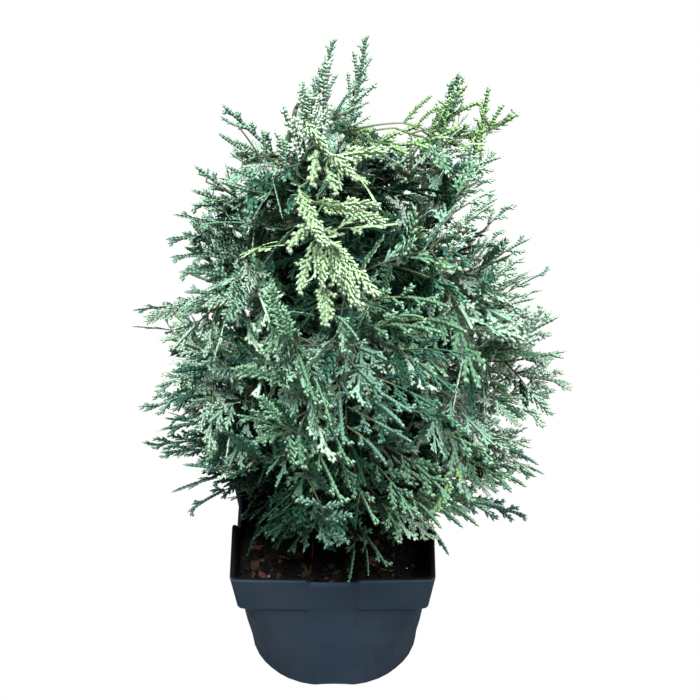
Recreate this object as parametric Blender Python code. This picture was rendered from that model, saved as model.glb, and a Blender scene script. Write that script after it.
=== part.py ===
# A young false cypress in a small square nursery pot.
# Metres, +Z up. The floor under the pot is z = 0 and the middle of the whole plant is x = y = 0.
# The work is laid out in millimetres from the pot's own axis and scaled and moved at the end.
# Its parts: pot, soil, a trunk with two more leaders, boughs, and masses of flat scale-leaf sprays.

import math
import random

import bmesh
import bpy
import numpy as np
from mathutils import Matrix, Vector, noise

# Units and placing
MM = 0.001
POT_AXIS = Vector((-8.3, -2.7, 0.0))
GAP = 0.35
SHARP_ANGLE = math.radians(38.0)

# Colours
POT_COLOUR = (0.035, 0.052, 0.072)
SOIL_COLOUR = (0.022, 0.015, 0.011)
BARK_COLOUR = (0.20, 0.10, 0.055)
YOUNG_BARK_COLOUR = (0.24, 0.14, 0.075)
LEAF_COLOUR = (0.10, 0.19, 0.15)
PALE_COLOUR = (0.36, 0.44, 0.24)

# Pot: half widths and corner radii, from the floor to the rim
POT_HEIGHT = 79.8
BASE_HALF = 38.7
BASE_CORNER = 32.0
BODY_HALF = 41.9
BODY_CORNER = 11.0
BAND_HEIGHT = 21.6
BAND_HALF = 42.7
RIM_HALF = 45.0
RIM_CORNER = 2.8
RIM_EDGE = 1.5
LEDGE_EASE = 0.5
WALL = 1.2
INNER_RIM = 2.1
INNER_DROP = 1.0
INNER_LEDGE = 1.6
FLOOR_TOP = 3.6
SIDE_BOW = 0.7
CORNER_STEPS = 3
PANEL_HALF = 0.242
PANEL_EASE = 1.1
PANEL_DIP = 4.4
PANEL_RECESS = 2.0
BAND_RECESS = 1.0
BODY_RECESS = 0.4
MIDDLE_LEVEL = 30.0
MIDDLE_CORNER = 21.2
INNER_CORNER = 1.9
ARCH_WIDTH = 29.0
ARCH_HEIGHT = 2.0
ARCH_INNER = 27.0
ARCH_OUTER = 4.0
ARCH_SEGMENTS = 64

# Soil
SOIL_TOP = 70.0
SOIL_ROUGH = 1.3
SOIL_FLAT = 9.0
SOIL_EASE = 6.0
SOIL_EDGE_DROP = 1.0
SOIL_SHARES = (0.82, 0.58, 0.34, 0.12)

# Limbs: points along the middle line, each with its radius last
TRUNK = (
    (0.0, 0.0, SOIL_TOP + GAP, 5.4),
    (0.0, 0.0, 73.0, 4.1),
    (-1.2, 0.4, 79.0, 3.3),
    (-4.0, 1.0, 96.0, 2.9),
    (-10.0, 2.0, 125.0, 2.5),
    (-16.0, 2.0, 160.0, 2.2),
    (-19.5, 1.0, 200.0, 1.9),
    (-20.0, -1.0, 240.0, 1.5),
    (-17.0, -4.0, 272.0, 1.1),
    (-12.5, -5.0, 294.0, 0.8),
)
RIGHT_LEADER = (
    (-2.8, 0.8, 90.0, 2.3),
    (10.0, -2.0, 128.0, 2.1),
    (20.0, -2.0, 162.0, 1.8),
    (28.5, -2.0, 200.0, 1.5),
    (33.0, -3.0, 235.0, 1.2),
    (37.0, -5.0, 268.0, 0.9),
)
MIDDLE_LEADER = (
    (-1.8, 0.6, 84.0, 2.2),
    (0.0, 13.0, 125.0, 2.0),
    (2.0, 18.0, 165.0, 1.7),
    (5.0, 15.0, 210.0, 1.4),
    (7.5, 8.0, 250.0, 1.1),
    (9.0, 3.0, 277.0, 0.8),
)
LIMB_SIDES = 8
BOUGH_SIDES = 6
TWIG_SIDES = 3

# Crown: how far the tips reach from the crown's line at each height, to the four sides
CROWN_X = 8.0
HEIGHTS = (70.0, 90.0, 115.0, 145.0, 185.0, 215.0, 240.0, 265.0, 290.0, 320.0)
REACH_LEFT = (62.0, 76.0, 84.0, 89.0, 88.0, 76.0, 70.0, 60.0, 50.0, 12.0)
REACH_RIGHT = (74.0, 80.0, 86.0, 94.0, 88.0, 82.0, 70.0, 66.0, 62.0, 34.0)
REACH_FRONT = (32.0, 42.0, 58.0, 70.0, 74.0, 68.0, 60.0, 50.0, 38.0, 16.0)
REACH_BACK = (46.0, 60.0, 70.0, 76.0, 76.0, 68.0, 56.0, 40.0, 20.0, 10.0)

# Masses, a tier at a time: name, how many, first bearing, height of tips, height of roots, lift
TIERS = (
    ("skirt", 6, 12.0, 104.0, 82.0, 14.0),
    ("low", 7, -6.0, 126.0, 92.0, 10.0),
    ("middle", 8, 8.0, 163.0, 108.0, 6.0),
    ("upper", 8, -6.0, 203.0, 138.0, 2.0),
    ("high", 6, 6.0, 243.0, 180.0, -2.0),
    ("crest", 4, -25.0, 276.0, 218.0, -3.0),
)
# Masses with places of their own: name, limb, height of root, tip, lift, share of the usual width.
# One with no height goes on from its limb's end.
OWN_MASSES = (
    ("tip_left", 0, None, (2.0, -3.0, 320.0), 1.0, 0.75),
    ("tip_right", 1, None, (58.0, -1.0, 299.0), 1.0, 1.0),
    ("tip_middle", 2, None, (13.0, 0.0, 321.0), 0.0, 0.5),
    ("crown_right", 1, 236.0, (29.0, -8.0, 292.0), 2.0, 1.0),
    ("crown_side", 1, 232.0, (70.0, 4.0, 272.0), 5.0, 1.0),
    ("crown_left", 0, 250.0, (-40.0, 2.0, 288.0), 4.0, 1.0),
    ("crown_front", 0, 238.0, (-3.0, -16.0, 303.0), 0.0, 0.8),
    ("side_left_high", 0, 214.0, (-51.0, -6.0, 262.0), 4.0, 1.0),
    ("side_left", 0, 146.0, (-76.0, -16.0, 196.0), 6.0, 1.0),
    ("side_left_low", 0, 112.0, (-80.0, -6.0, 142.0), 8.0, 1.0),
    ("side_right_high", 1, 176.0, (86.0, 2.0, 216.0), 6.0, 1.0),
    ("side_right", 1, 132.0, (98.0, -2.0, 152.0), 8.0, 1.0),
    ("side_right_low", 1, 106.0, (86.0, 10.0, 86.0), 12.0, 1.0),
    ("pale_shoot", 0, 266.0, (18.0, -30.0, 268.0), 26.0, 1.0),
    ("pale_shoot_low", 0, 240.0, (12.0, -50.0, 236.0), 30.0, 0.55),
    ("fall_wide_left", 0, 222.0, (-46.0, -50.0, 206.0), 34.0, 1.0),
    ("fall_high_left", 0, 200.0, (-7.0, -62.0, 172.0), 38.0, 1.0),
    ("fall_high_middle", 2, 232.0, (20.0, -62.0, 152.0), 50.0, 1.0),
    ("fall_high_right", 1, 224.0, (58.0, -48.0, 196.0), 30.0, 1.0),
    ("fall_left", 0, 164.0, (-50.0, -52.0, 150.0), 30.0, 1.0),
    ("fall_middle", 0, 186.0, (20.0, -64.0, 106.0), 52.0, 1.0),
    ("fall_right", 1, 186.0, (60.0, -52.0, 128.0), 40.0, 1.0),
)
# Planning the masses: the seed of all draws, the least room between sites, where a site lies on
# its mass's line, and the moves tried where two roots would be too close
SEED = 23
OWN_ROOM = 24.0
SITE_SHARE = 0.62
NUDGES = (0.0, 4.0, -4.0, 8.0, -8.0, 12.0, 16.0, 20.0)
INNER_SHARE = 0.45
INNER_STEPS = 15
ROOT_ROOM = 1.5
CROWN_SLACK = 1.05
ABOVE_POT = 4.0
RIM_WIDE = 9.0
LIMB_ROOM = 1.3
ENTER_MARGIN = 2.0
ENTER_LEAST = 0.04

# Boughs and stems, and how closely each is seated on what carries it
BOUGH_COUNT = 8
BOUGH_RADIUS = 1.7
STEM_RADIUS = 1.25
STEM_TIP = 0.7
STEM_PAST = 0.05
LIMB_STEPS = 4
SEAT = 0.3
SEAT_SLACK = 0.03
SEAT_TRIES = 9
SPRAY_GAP = 0.45

# Blades: flat toothed sprays, each a share of its mass's line
LEAD_START = 0.34
BLADE_STARTS = (0.36, 0.48)
RAISED_START = 0.5
BLADE_TURN = 40.0
BLADE_LEAN = 28.0
BLADE_ROLL = 35.0
MASS_ROLL = 40.0
BLADE_SHARE = 0.35
BLADE_THICK = 0.85
BLADE_WIDEST = 18.0
SHORTEST_BLADE = 17.0
SHRINKS = (1.0, 0.9, 0.8, 0.7, 0.6, 0.5)
TOOTH_STEP = 15.0
MOST_TEETH = 4
TOOTH_SWEEP = 0.6
TOOTH_TRIES = 5
TOOTH_DRAWN_IN = 0.3
NOTCH_SHARE = 0.32
TRIANGLE_STEPS = 5
TRIANGLE_SHARES = np.array([
    (a, b, TRIANGLE_STEPS - a - b) for a in range(TRIANGLE_STEPS + 1) for b in range(TRIANGLE_STEPS + 1 - a)
]) / TRIANGLE_STEPS


def clear_scene():
    """Start from an empty file."""
    for obj in list(bpy.data.objects):
        bpy.data.objects.remove(obj, do_unlink=True)
    for mesh in list(bpy.data.meshes):
        bpy.data.meshes.remove(mesh)


def new_collection(name):
    """A collection of the scene."""
    group = bpy.data.collections.new(name)
    bpy.context.scene.collection.children.link(group)
    return group


def make_material(name, colour, roughness):
    """A plain surface."""
    material = bpy.data.materials.new(name)
    material.use_nodes = True
    shader = material.node_tree.nodes["Principled BSDF"]
    shader.inputs["Base Color"].default_value = (*colour, 1.0)
    shader.inputs["Roughness"].default_value = roughness
    material.diffuse_color = (*colour, 1.0)
    return material


def object_from(bm, name, group):
    """Turn a bmesh into a linked object."""
    mesh = bpy.data.meshes.new(name)
    bm.to_mesh(mesh)
    bm.free()
    obj = bpy.data.objects.new(name, mesh)
    group.objects.link(obj)
    return obj


def finish_part(obj, material, smooth=False):
    """Face outwards, cut into triangles, bring to metres in its place, and give it its material."""
    bm = bmesh.new()
    bm.from_mesh(obj.data)
    bmesh.ops.triangulate(bm, faces=bm.faces)
    bmesh.ops.recalc_face_normals(bm, faces=bm.faces)
    bm.transform(Matrix.Scale(MM, 4) @ Matrix.Translation(POT_AXIS))
    bm.to_mesh(obj.data)
    bm.free()
    obj.data.materials.clear()
    obj.data.materials.append(material)
    if smooth:
        obj.data.shade_smooth()
        obj.data.set_sharp_from_angle(angle=SHARP_ANGLE)


def blend(value, keys, values):
    """A value read between the two nearest named ones."""
    if value <= keys[0]:
        return values[0]
    for low, high, start, end in zip(keys, keys[1:], values, values[1:]):
        if value <= high:
            return start + (end - start) * (value - low) / (high - low)
    return values[-1]


# Pot and soil


def bowed(x, y, z):
    """Move a point of the outline out by the sides' slight bow, which is nothing at the corners."""
    swell = SIDE_BOW * abs(x * x - y * y) / (x * x + y * y)
    if abs(x) > abs(y):
        return Vector((x + math.copysign(swell, x), y, z))
    return Vector((x, y + math.copysign(swell, y), z))


def ring_points(half, corner, z, recess=0.0, dip=0.0):
    """One level of the pot: a rounded square with bowed sides and a panel in each side."""
    panel = PANEL_HALF * half
    straight = half - corner
    far = max(straight, 0.6 * (straight + 0.7 * corner) + 0.4 * panel)
    stops = (far, 0.5 * (far + panel), panel + PANEL_EASE, panel - PANEL_EASE)
    stops = [-stop for stop in stops] + [0.0] + [stop for stop in reversed(stops)]
    first = math.asin((far - straight) / corner)
    points = []
    for side in range(4):
        turn = Matrix.Rotation(math.radians(90.0 * side), 3, "Z")
        for stop in stops:
            past = max(0.0, abs(stop) - straight)
            inside = abs(stop) < panel
            out = straight + math.sqrt(corner ** 2 - past ** 2) - (recess if inside else 0.0)
            points.append(turn @ bowed(out, stop, z - (dip if inside else 0.0)))
        for step in range(1, CORNER_STEPS + 1):
            angle = first + (0.5 * math.pi - 2.0 * first) * step / (CORNER_STEPS + 1)
            x = straight + corner * math.cos(angle)
            y = straight + corner * math.sin(angle)
            points.append(turn @ bowed(x, y, z))
    return points


def loft(levels):
    """A closed skin through rings of the same number of points."""
    bm = bmesh.new()
    rings = [[bm.verts.new(point) for point in level] for level in levels]
    for ring, after in zip(rings, rings[1:]):
        for index in range(len(ring)):
            other = (index + 1) % len(ring)
            bm.faces.new((ring[index], ring[other], after[other], after[index]))
    return bm, rings


def inner_levels(clear=0.0):
    """The levels of the pot's inside from the rim down, or of a filling that stays clear of it."""
    half = BODY_HALF - WALL - clear
    ledge = POT_HEIGHT - BAND_HEIGHT
    return [
        (RIM_HALF - INNER_RIM - clear, INNER_CORNER, POT_HEIGHT - INNER_DROP, PANEL_RECESS, PANEL_DIP),
        (BAND_HALF - WALL - clear, INNER_CORNER, ledge + INNER_LEDGE + clear, BAND_RECESS, 0.0),
        (half, BODY_CORNER - WALL, ledge - 0.2 + clear, BODY_RECESS, 0.0),
        (0.5 * (half + BASE_HALF - WALL - clear), MIDDLE_CORNER - WALL, MIDDLE_LEVEL, 0.0, 0.0),
        (BASE_HALF - WALL - 0.4 - clear, BASE_CORNER - WALL, FLOOR_TOP + clear, 0.0, 0.0),
    ]


def make_pot(group, cutters):
    """A thin-walled pot: near round at its foot, square at its banded rim, open on top."""
    ledge = POT_HEIGHT - BAND_HEIGHT
    middle = 0.5 * (BASE_HALF + BODY_HALF)
    outer = [
        (BASE_HALF - WALL, BASE_CORNER - WALL, 0.0, 0.0, 0.0),
        (BASE_HALF, BASE_CORNER, WALL, 0.0, 0.0),
        (middle, MIDDLE_CORNER, MIDDLE_LEVEL, 0.0, 0.0),
        (BODY_HALF, BODY_CORNER, ledge - LEDGE_EASE, BODY_RECESS, 0.0),
        (BAND_HALF, RIM_CORNER, ledge + LEDGE_EASE, BAND_RECESS, 0.0),
        (RIM_HALF, RIM_CORNER, POT_HEIGHT - INNER_DROP, PANEL_RECESS, PANEL_DIP),
        (RIM_HALF - 0.4, RIM_CORNER - 0.2, POT_HEIGHT, PANEL_RECESS, PANEL_DIP),
        (RIM_HALF - RIM_EDGE, RIM_CORNER - 0.6, POT_HEIGHT, PANEL_RECESS, PANEL_DIP),
    ]
    levels = [ring_points(*level) for level in outer + inner_levels()]
    bm, rings = loft(levels)
    bm.faces.new(reversed(rings[0]))
    bm.faces.new(rings[-1])
    bmesh.ops.recalc_face_normals(bm, faces=bm.faces)
    pot = object_from(bm, "pot", group)
    radius = (0.25 * ARCH_WIDTH ** 2 + ARCH_HEIGHT ** 2) / (2.0 * ARCH_HEIGHT)
    for side in range(4):
        bm = bmesh.new()
        length = BASE_HALF + ARCH_OUTER - ARCH_INNER
        lay = Matrix.Rotation(math.radians(90.0), 4, "Y")
        away = Matrix.Translation((ARCH_INNER + 0.5 * length, 0.0, ARCH_HEIGHT - radius))
        turn = Matrix.Rotation(math.radians(90.0 * side), 4, "Z")
        bmesh.ops.create_cone(bm, cap_ends=True, segments=ARCH_SEGMENTS, radius1=radius, radius2=radius,
                              depth=length, matrix=turn @ away @ lay)
        cutter = object_from(bm, f"foot_arch_{side + 1}", cutters)
        cutter.hide_render = True
        cutter.display_type = "WIRE"
    cut = pot.modifiers.new("foot_arches", "BOOLEAN")
    cut.operation = "DIFFERENCE"
    cut.operand_type = "COLLECTION"
    cut.collection = cutters
    cut.solver = "EXACT"
    apply_modifiers(pot)
    for cutter in list(cutters.objects):
        bpy.data.objects.remove(cutter, do_unlink=True)
    finish_part(pot, make_material("pot_plastic", POT_COLOUR, 0.55), smooth=True)


def soil_height(x, y):
    """The uneven top of the soil, flat where the trunk stands."""
    away = math.hypot(x, y)
    rough = noise.noise(Vector((x * 0.11, y * 0.11, 3.7))) + 0.6 * noise.noise(Vector((x * 0.3, y * 0.3, 9.1)))
    ease = min(1.0, max(0.0, (away - SOIL_FLAT) / SOIL_EASE))
    return SOIL_TOP + SOIL_ROUGH * rough * ease


def make_soil(group):
    """The filling of the pot, with a rough top a little under the rim."""
    inner = inner_levels(GAP)
    top_share = (SOIL_TOP - inner[1][2]) / (inner[0][2] - inner[1][2])
    top_half = inner[1][0] + (inner[0][0] - inner[1][0]) * top_share
    top_recess = inner[1][3] + (inner[0][3] - inner[1][3]) * top_share
    edge = ring_points(top_half - 0.2, inner[0][1], SOIL_TOP, top_recess + 0.2)
    levels = [ring_points(*level) for level in reversed(inner[1:])]
    levels.append([Vector((p.x, p.y, soil_height(p.x, p.y) - SOIL_EDGE_DROP)) for p in edge])
    for share in SOIL_SHARES:
        levels.append([Vector((p.x * share, p.y * share, soil_height(p.x * share, p.y * share))) for p in edge])
    bm, rings = loft(levels)
    bm.faces.new(reversed(rings[0]))
    bm.faces.new(rings[-1])
    bmesh.ops.recalc_face_normals(bm, faces=bm.faces)
    soil = object_from(bm, "soil", group)
    finish_part(soil, make_material("soil_peat", SOIL_COLOUR, 0.95))


# Limbs


def apply_modifiers(obj):
    """Make an object's modifiers part of its mesh."""
    graph = bpy.context.evaluated_depsgraph_get()
    mesh = bpy.data.meshes.new_from_object(obj.evaluated_get(graph))
    obj.modifiers.clear()
    obj.data = mesh


def tube(name, group, points, sides):
    """A tapering limb: a curve swept with a regular outline, its ends closed flat."""
    outline = bpy.data.curves.new("outline", "CURVE")
    outline.dimensions = "2D"
    ring = outline.splines.new("POLY")
    ring.points.add(sides - 1)
    for index in range(sides):
        angle = 2.0 * math.pi * index / sides
        ring.points[index].co = (math.cos(angle), math.sin(angle), 0.0, 1.0)
    ring.use_cyclic_u = True
    outline_object = bpy.data.objects.new("outline", outline)
    curve = bpy.data.curves.new(name, "CURVE")
    curve.dimensions = "3D"
    curve.twist_mode = "MINIMUM"
    curve.bevel_mode = "OBJECT"
    curve.bevel_object = outline_object
    curve.use_fill_caps = True
    line = curve.splines.new("POLY")
    line.points.add(len(points) - 1)
    for index, (x, y, z, radius) in enumerate(points):
        line.points[index].co = (x, y, z, 1.0)
        line.points[index].radius = radius
    source = bpy.data.objects.new(name + "_line", curve)
    group.objects.link(outline_object)
    group.objects.link(source)
    graph = bpy.context.evaluated_depsgraph_get()
    mesh = bpy.data.meshes.new_from_object(source.evaluated_get(graph))
    bpy.data.objects.remove(source, do_unlink=True)
    bpy.data.objects.remove(outline_object, do_unlink=True)
    bm = bmesh.new()
    bm.from_mesh(mesh)
    bmesh.ops.remove_doubles(bm, verts=bm.verts, dist=0.0005)
    bmesh.ops.recalc_face_normals(bm, faces=bm.faces)
    bpy.data.meshes.remove(mesh)
    return object_from(bm, name, group)


def smooth_limb(points, step=9.0):
    """Points and radii along a limb, rounded between the named ones."""
    rows = [Vector(point) for point in points]
    line = []
    for index in range(len(rows) - 1):
        before = rows[max(index - 1, 0)]
        start = rows[index]
        end = rows[index + 1]
        after = rows[min(index + 2, len(rows) - 1)]
        count = max(1, round((end.xyz - start.xyz).length / step))
        for part in range(count):
            t = part / count
            bend = (2.0 * start + (end - before) * t + (2.0 * before - 5.0 * start + 4.0 * end - after) * t * t
                    + (3.0 * start - before - 3.0 * end + after) * t ** 3)
            line.append(tuple(0.5 * bend))
    line.append(tuple(rows[-1]))
    return line


def limb_at(line, height):
    """The point and radius of a limb where it passes a height, or None."""
    for start, end in zip(line, line[1:]):
        if start[2] <= height <= end[2]:
            share = (height - start[2]) / max(end[2] - start[2], 0.001)
            return [a + (b - a) * share for a, b in zip(start, end)]
    return None


# Masses: where each grows from and how far it reaches


def reach(bearing, height):
    """How far the crown reaches from its line on a bearing at a height."""
    across = blend(height, HEIGHTS, REACH_RIGHT if math.cos(bearing) > 0.0 else REACH_LEFT)
    along = blend(height, HEIGHTS, REACH_BACK if math.sin(bearing) > 0.0 else REACH_FRONT)
    return 1.0 / math.hypot(math.cos(bearing) / across, math.sin(bearing) / along)


def arch(start, tip, lift, share):
    """A point on the arching line of a bough or a spray."""
    control = start.lerp(tip, 0.5) + Vector((0.0, 0.0, lift))
    return start.lerp(control, share).lerp(control.lerp(tip, share), share)


def nearest(point, lines):
    """The least room between a point and the surface of the limbs, and the way out from the nearest."""
    starts, ends, radii = limb_lengths(lines)
    along = ends - starts
    rise = np.array(point) - starts
    share = np.clip((rise * along).sum(axis=1) / np.maximum((along * along).sum(axis=1), 1e-6), 0.0, 1.0)
    away = rise - share[:, None] * along
    room = np.linalg.norm(away, axis=1) - radii
    index = int(np.argmin(room))
    return float(room[index]), Vector(away[index])


def clear_start(place, lines, radius):
    """The share of a line at which a limb of this radius can start with a small gap to what carries it."""
    for step in range(1, 400):
        share = step / 500.0
        point = place(share)
        room, away = nearest(point, lines)
        along = (place(share + 0.01) - point).normalized()
        lean = math.sqrt(max(0.0, 1.0 - along.dot(away.normalized()) ** 2))
        if room > GAP + radius * lean:
            return share
    return 0.5


def leader_line(points, trunk):
    """A leader's line, cut where it comes clear of the trunk."""
    line = [Vector(row) for row in smooth_limb(points, 4.0)]

    def place(share):
        spot = min(share, 0.999) * (len(line) - 1)
        index = int(spot)
        return line[index].xyz.lerp(line[index + 1].xyz, spot - index)

    first = clear_start(place, [trunk], points[0][3])
    kept = [row for index, row in enumerate(line) if index > first * (len(line) - 1) + 0.5]
    return [(*place(first), points[0][3])] + [tuple(row) for row in kept[::2]] + [tuple(line[-1])]


def inner_points(mass):
    """Points along the inner half of a mass's line."""
    first = mass["first"]
    shares = [first + (INNER_SHARE - first) * step / (INNER_STEPS - 1) for step in range(INNER_STEPS)]
    return [arch(mass["root"], mass["tip"], mass["lift"], share) for share in shares]


def place_mass(name, carrier, level, tip, lift, width, limbs, placed):
    """One mass rooted on its limb near a height, moved up or down to keep off what is there already."""
    for nudge in NUDGES:
        spot = limb_at(limbs[carrier], level + nudge)
        if not spot:
            continue
        mass = {"name": name, "root": Vector(spot[:3]), "tip": tip, "lift": lift, "width": width}
        mass["first"] = clear_start(lambda share: arch(mass["root"], tip, lift, share), limbs, BOUGH_RADIUS)
        points = np.array(inner_points(mass))
        taken = np.array([point for other in placed for point in inner_points(other)] or [(0.0, 0.0, -99.0)])
        apart = np.linalg.norm(points[:, None, :] - taken[None, :, :], axis=2).min()
        room = min(nearest(point, limbs)[0] for point in points[1:])
        if apart > 2.0 * BOUGH_RADIUS + ROOT_ROOM and room > STEM_RADIUS:
            return mass
    return None


def plan_masses(limbs, rng):
    """Every mass: its name, root, tip and lift. Its own space is what lies nearest to its site."""
    placed = []
    for name, carrier, level, tip, lift, width in OWN_MASSES:
        tip = Vector(tip)
        if level is None:
            end = Vector(limbs[carrier][-1][:3])
            root = end + (tip - end).normalized() * GAP
            mass = {"name": name, "root": root, "tip": tip, "lift": lift, "width": width, "first": 0.0}
        else:
            mass = place_mass(name, carrier, level, tip, lift, width, limbs, placed)
        mass["site"] = arch(mass["root"], mass["tip"], mass["lift"], SITE_SHARE)
        placed.append(mass)
    own = list(placed)
    for name, count, first, tip_height, root_height, lift in TIERS:
        for index in range(count):
            bearing = math.radians(first + 360.0 * (index + rng.uniform(-0.12, 0.12)) / count)
            height = tip_height + rng.uniform(-9.0, 9.0)
            away = reach(bearing, height) * rng.uniform(0.97, 1.03)
            tip = Vector((CROWN_X + away * math.cos(bearing), away * math.sin(bearing), height))
            level = root_height + (index % 3) * 6.0 - (index % 2) * 3.0
            options = [number for number, line in enumerate(limbs) if limb_at(line, level)]
            carrier = min(options, key=lambda number: (Vector(limb_at(limbs[number], level)[:2]) - tip.xy).length)
            mass = place_mass(f"{name}_sprays_{index + 1}", carrier, level, tip, lift, 1.0, limbs, placed)
            if not mass:
                continue
            mass["site"] = arch(mass["root"], mass["tip"], mass["lift"], SITE_SHARE)
            if min((mass["site"] - one["site"]).length for one in own) > OWN_ROOM:
                placed.append(mass)
    return placed


def in_cell(points, mass, masses, margin=GAP):
    """Whether points lie in the mass's own space, clear of its neighbours'."""
    own = mass["site"]
    inside = np.ones(len(points), dtype=bool)
    for other in masses:
        if other is mass:
            continue
        across = other["site"] - own
        depth = (points - np.array(own)) @ np.array(across.normalized())
        inside &= depth < 0.5 * across.length - margin
    return inside


def in_crown(points):
    """Whether points are inside the crown's outline and above the pot and soil."""
    x = points[:, 0] - CROWN_X
    y = points[:, 1]
    z = points[:, 2]
    across = np.where(x > 0.0, np.interp(z, HEIGHTS, REACH_RIGHT), np.interp(z, HEIGHTS, REACH_LEFT))
    along = np.where(y > 0.0, np.interp(z, HEIGHTS, REACH_BACK), np.interp(z, HEIGHTS, REACH_FRONT))
    over_rim = np.maximum(np.abs(points[:, 0]), np.abs(y)) > RIM_HALF - RIM_WIDE
    low = np.where(over_rim, POT_HEIGHT + ABOVE_POT, SOIL_TOP + ABOVE_POT)
    return (np.hypot(x / across, y / along) < CROWN_SLACK) & (z > low) & (z < HEIGHTS[-1] + 2.0)


def clear_of(points, starts, ends, radii):
    """Whether points keep off all limbs, given as the ends and radii of short lengths."""
    along = ends - starts
    rise = points[:, None, :] - starts[None, :, :]
    share = np.clip((rise * along).sum(axis=2) / np.maximum((along * along).sum(axis=1), 1e-6), 0.0, 1.0)
    away = np.linalg.norm(rise - share[:, :, None] * along[None, :, :], axis=2)
    return (away > radii + LIMB_ROOM).all(axis=1)


def limb_lengths(lines):
    """Limbs as arrays of the starts, ends and radii of their short lengths."""
    starts = np.array([row[:3] for line in lines for row in line[:-1]])
    ends = np.array([row[:3] for line in lines for row in line[1:]])
    radii = np.array([row[3] for line in lines for row in line[:-1]])
    return starts, ends, radii


def blade_rows(plan, shrink):
    """The ribs, notches and teeth of one blade, from its line, width and draws."""
    start = plan["start"]
    tip = start.lerp(plan["tip"], shrink)
    lift = plan["lift"] * shrink
    span = (tip - start).length
    teeth = max(2, min(MOST_TEETH, round(span / TOOTH_STEP)))
    width = min(BLADE_WIDEST, span * BLADE_SHARE * plan["scale"])
    ribs = []
    pairs = []
    for index in range(2 * teeth + 1):
        share = index / (2 * teeth)
        middle = arch(start, tip, lift, share)
        along = arch(start, tip, lift, min(1.0, share + 0.02)) - arch(start, tip, lift, max(0.0, share - 0.02))
        along.normalize()
        side = (plan["side"] - along * plan["side"].dot(along)).normalized()
        body = width * math.sin(math.pi * (0.08 + 0.84 * share)) ** 0.7
        if index % 2 == 0:
            notch = 0.0 if index == 2 * teeth else NOTCH_SHARE * body
            thick = BLADE_THICK * (1.0 - 0.5 * share) if index < 2 * teeth else 0.0
            up = along.cross(side) * thick
            ribs.append({"top": middle + up, "under": middle - up,
                         "left": middle + side * notch, "right": middle - side * notch})
        else:
            left, right = plan["draws"][index // 2]
            sweep = along * TOOTH_SWEEP * body
            pairs.append({"middle": middle, "left": middle + side * body * left + sweep,
                          "right": middle - side * body * right + sweep})
    return ribs, pairs


def spread(first, second, third):
    """Points spread over a triangle, close enough to find a thin limb that crosses it."""
    corners = np.array((first, second, third))
    return TRIANGLE_SHARES @ corners


def fit_blade(plan, inside, clear):
    """The longest blade that stays in its own space, its teeth shortened where they would leave it."""
    for shrink in SHRINKS:
        if (plan["tip"] - plan["start"]).length * shrink < SHORTEST_BLADE:
            return None
        ribs, pairs = blade_rows(plan, shrink)
        middle = np.array([rib[key] for rib in ribs for key in ("top", "under", "left", "right")])
        if not inside(middle).all() or not clear(middle).all():
            continue
        fits = True
        for index, pair in enumerate(pairs):
            for side in ("left", "right"):
                fits = fits and shorten_tooth(ribs[index], ribs[index + 1], pair, side, inside, clear)
        if fits:
            return ribs, pairs
    return None


def shorten_tooth(rib, after, pair, side, inside, clear):
    """Draw one tooth in until it is in its own space and off the limbs."""
    for _ in range(TOOTH_TRIES):
        tooth = pair[side]
        points = np.concatenate((
            spread(rib["top"], rib[side], tooth), spread(rib["top"], tooth, after["top"]),
            spread(after["top"], tooth, after[side]),
        ))
        if inside(np.array([tooth])).all() and clear(points).all():
            return True
        pair[side] = tooth.lerp(pair["middle"], TOOTH_DRAWN_IN)
    return False


def blade_mesh(ribs, pairs):
    """A closed toothed blade, thick along its rib and sharp at its edges."""
    bm = bmesh.new()
    rows = [{key: bm.verts.new(rib[key]) for key in rib} for rib in ribs]
    bm.faces.new([rows[0][key] for key in ("top", "left", "under", "right")])
    for index, pair in enumerate(pairs):
        first = rows[index]
        second = rows[index + 1]
        for side in ("left", "right"):
            tooth = bm.verts.new(pair[side])
            for face in ("top", "under"):
                bm.faces.new((first[face], first[side], tooth))
                bm.faces.new((first[face], tooth, second[face]))
                bm.faces.new((second[face], tooth, second[side]))
    bmesh.ops.remove_doubles(bm, verts=bm.verts, dist=0.0001)
    bmesh.ops.triangulate(bm, faces=bm.faces)
    bmesh.ops.recalc_face_normals(bm, faces=bm.faces)
    return bm


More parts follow.
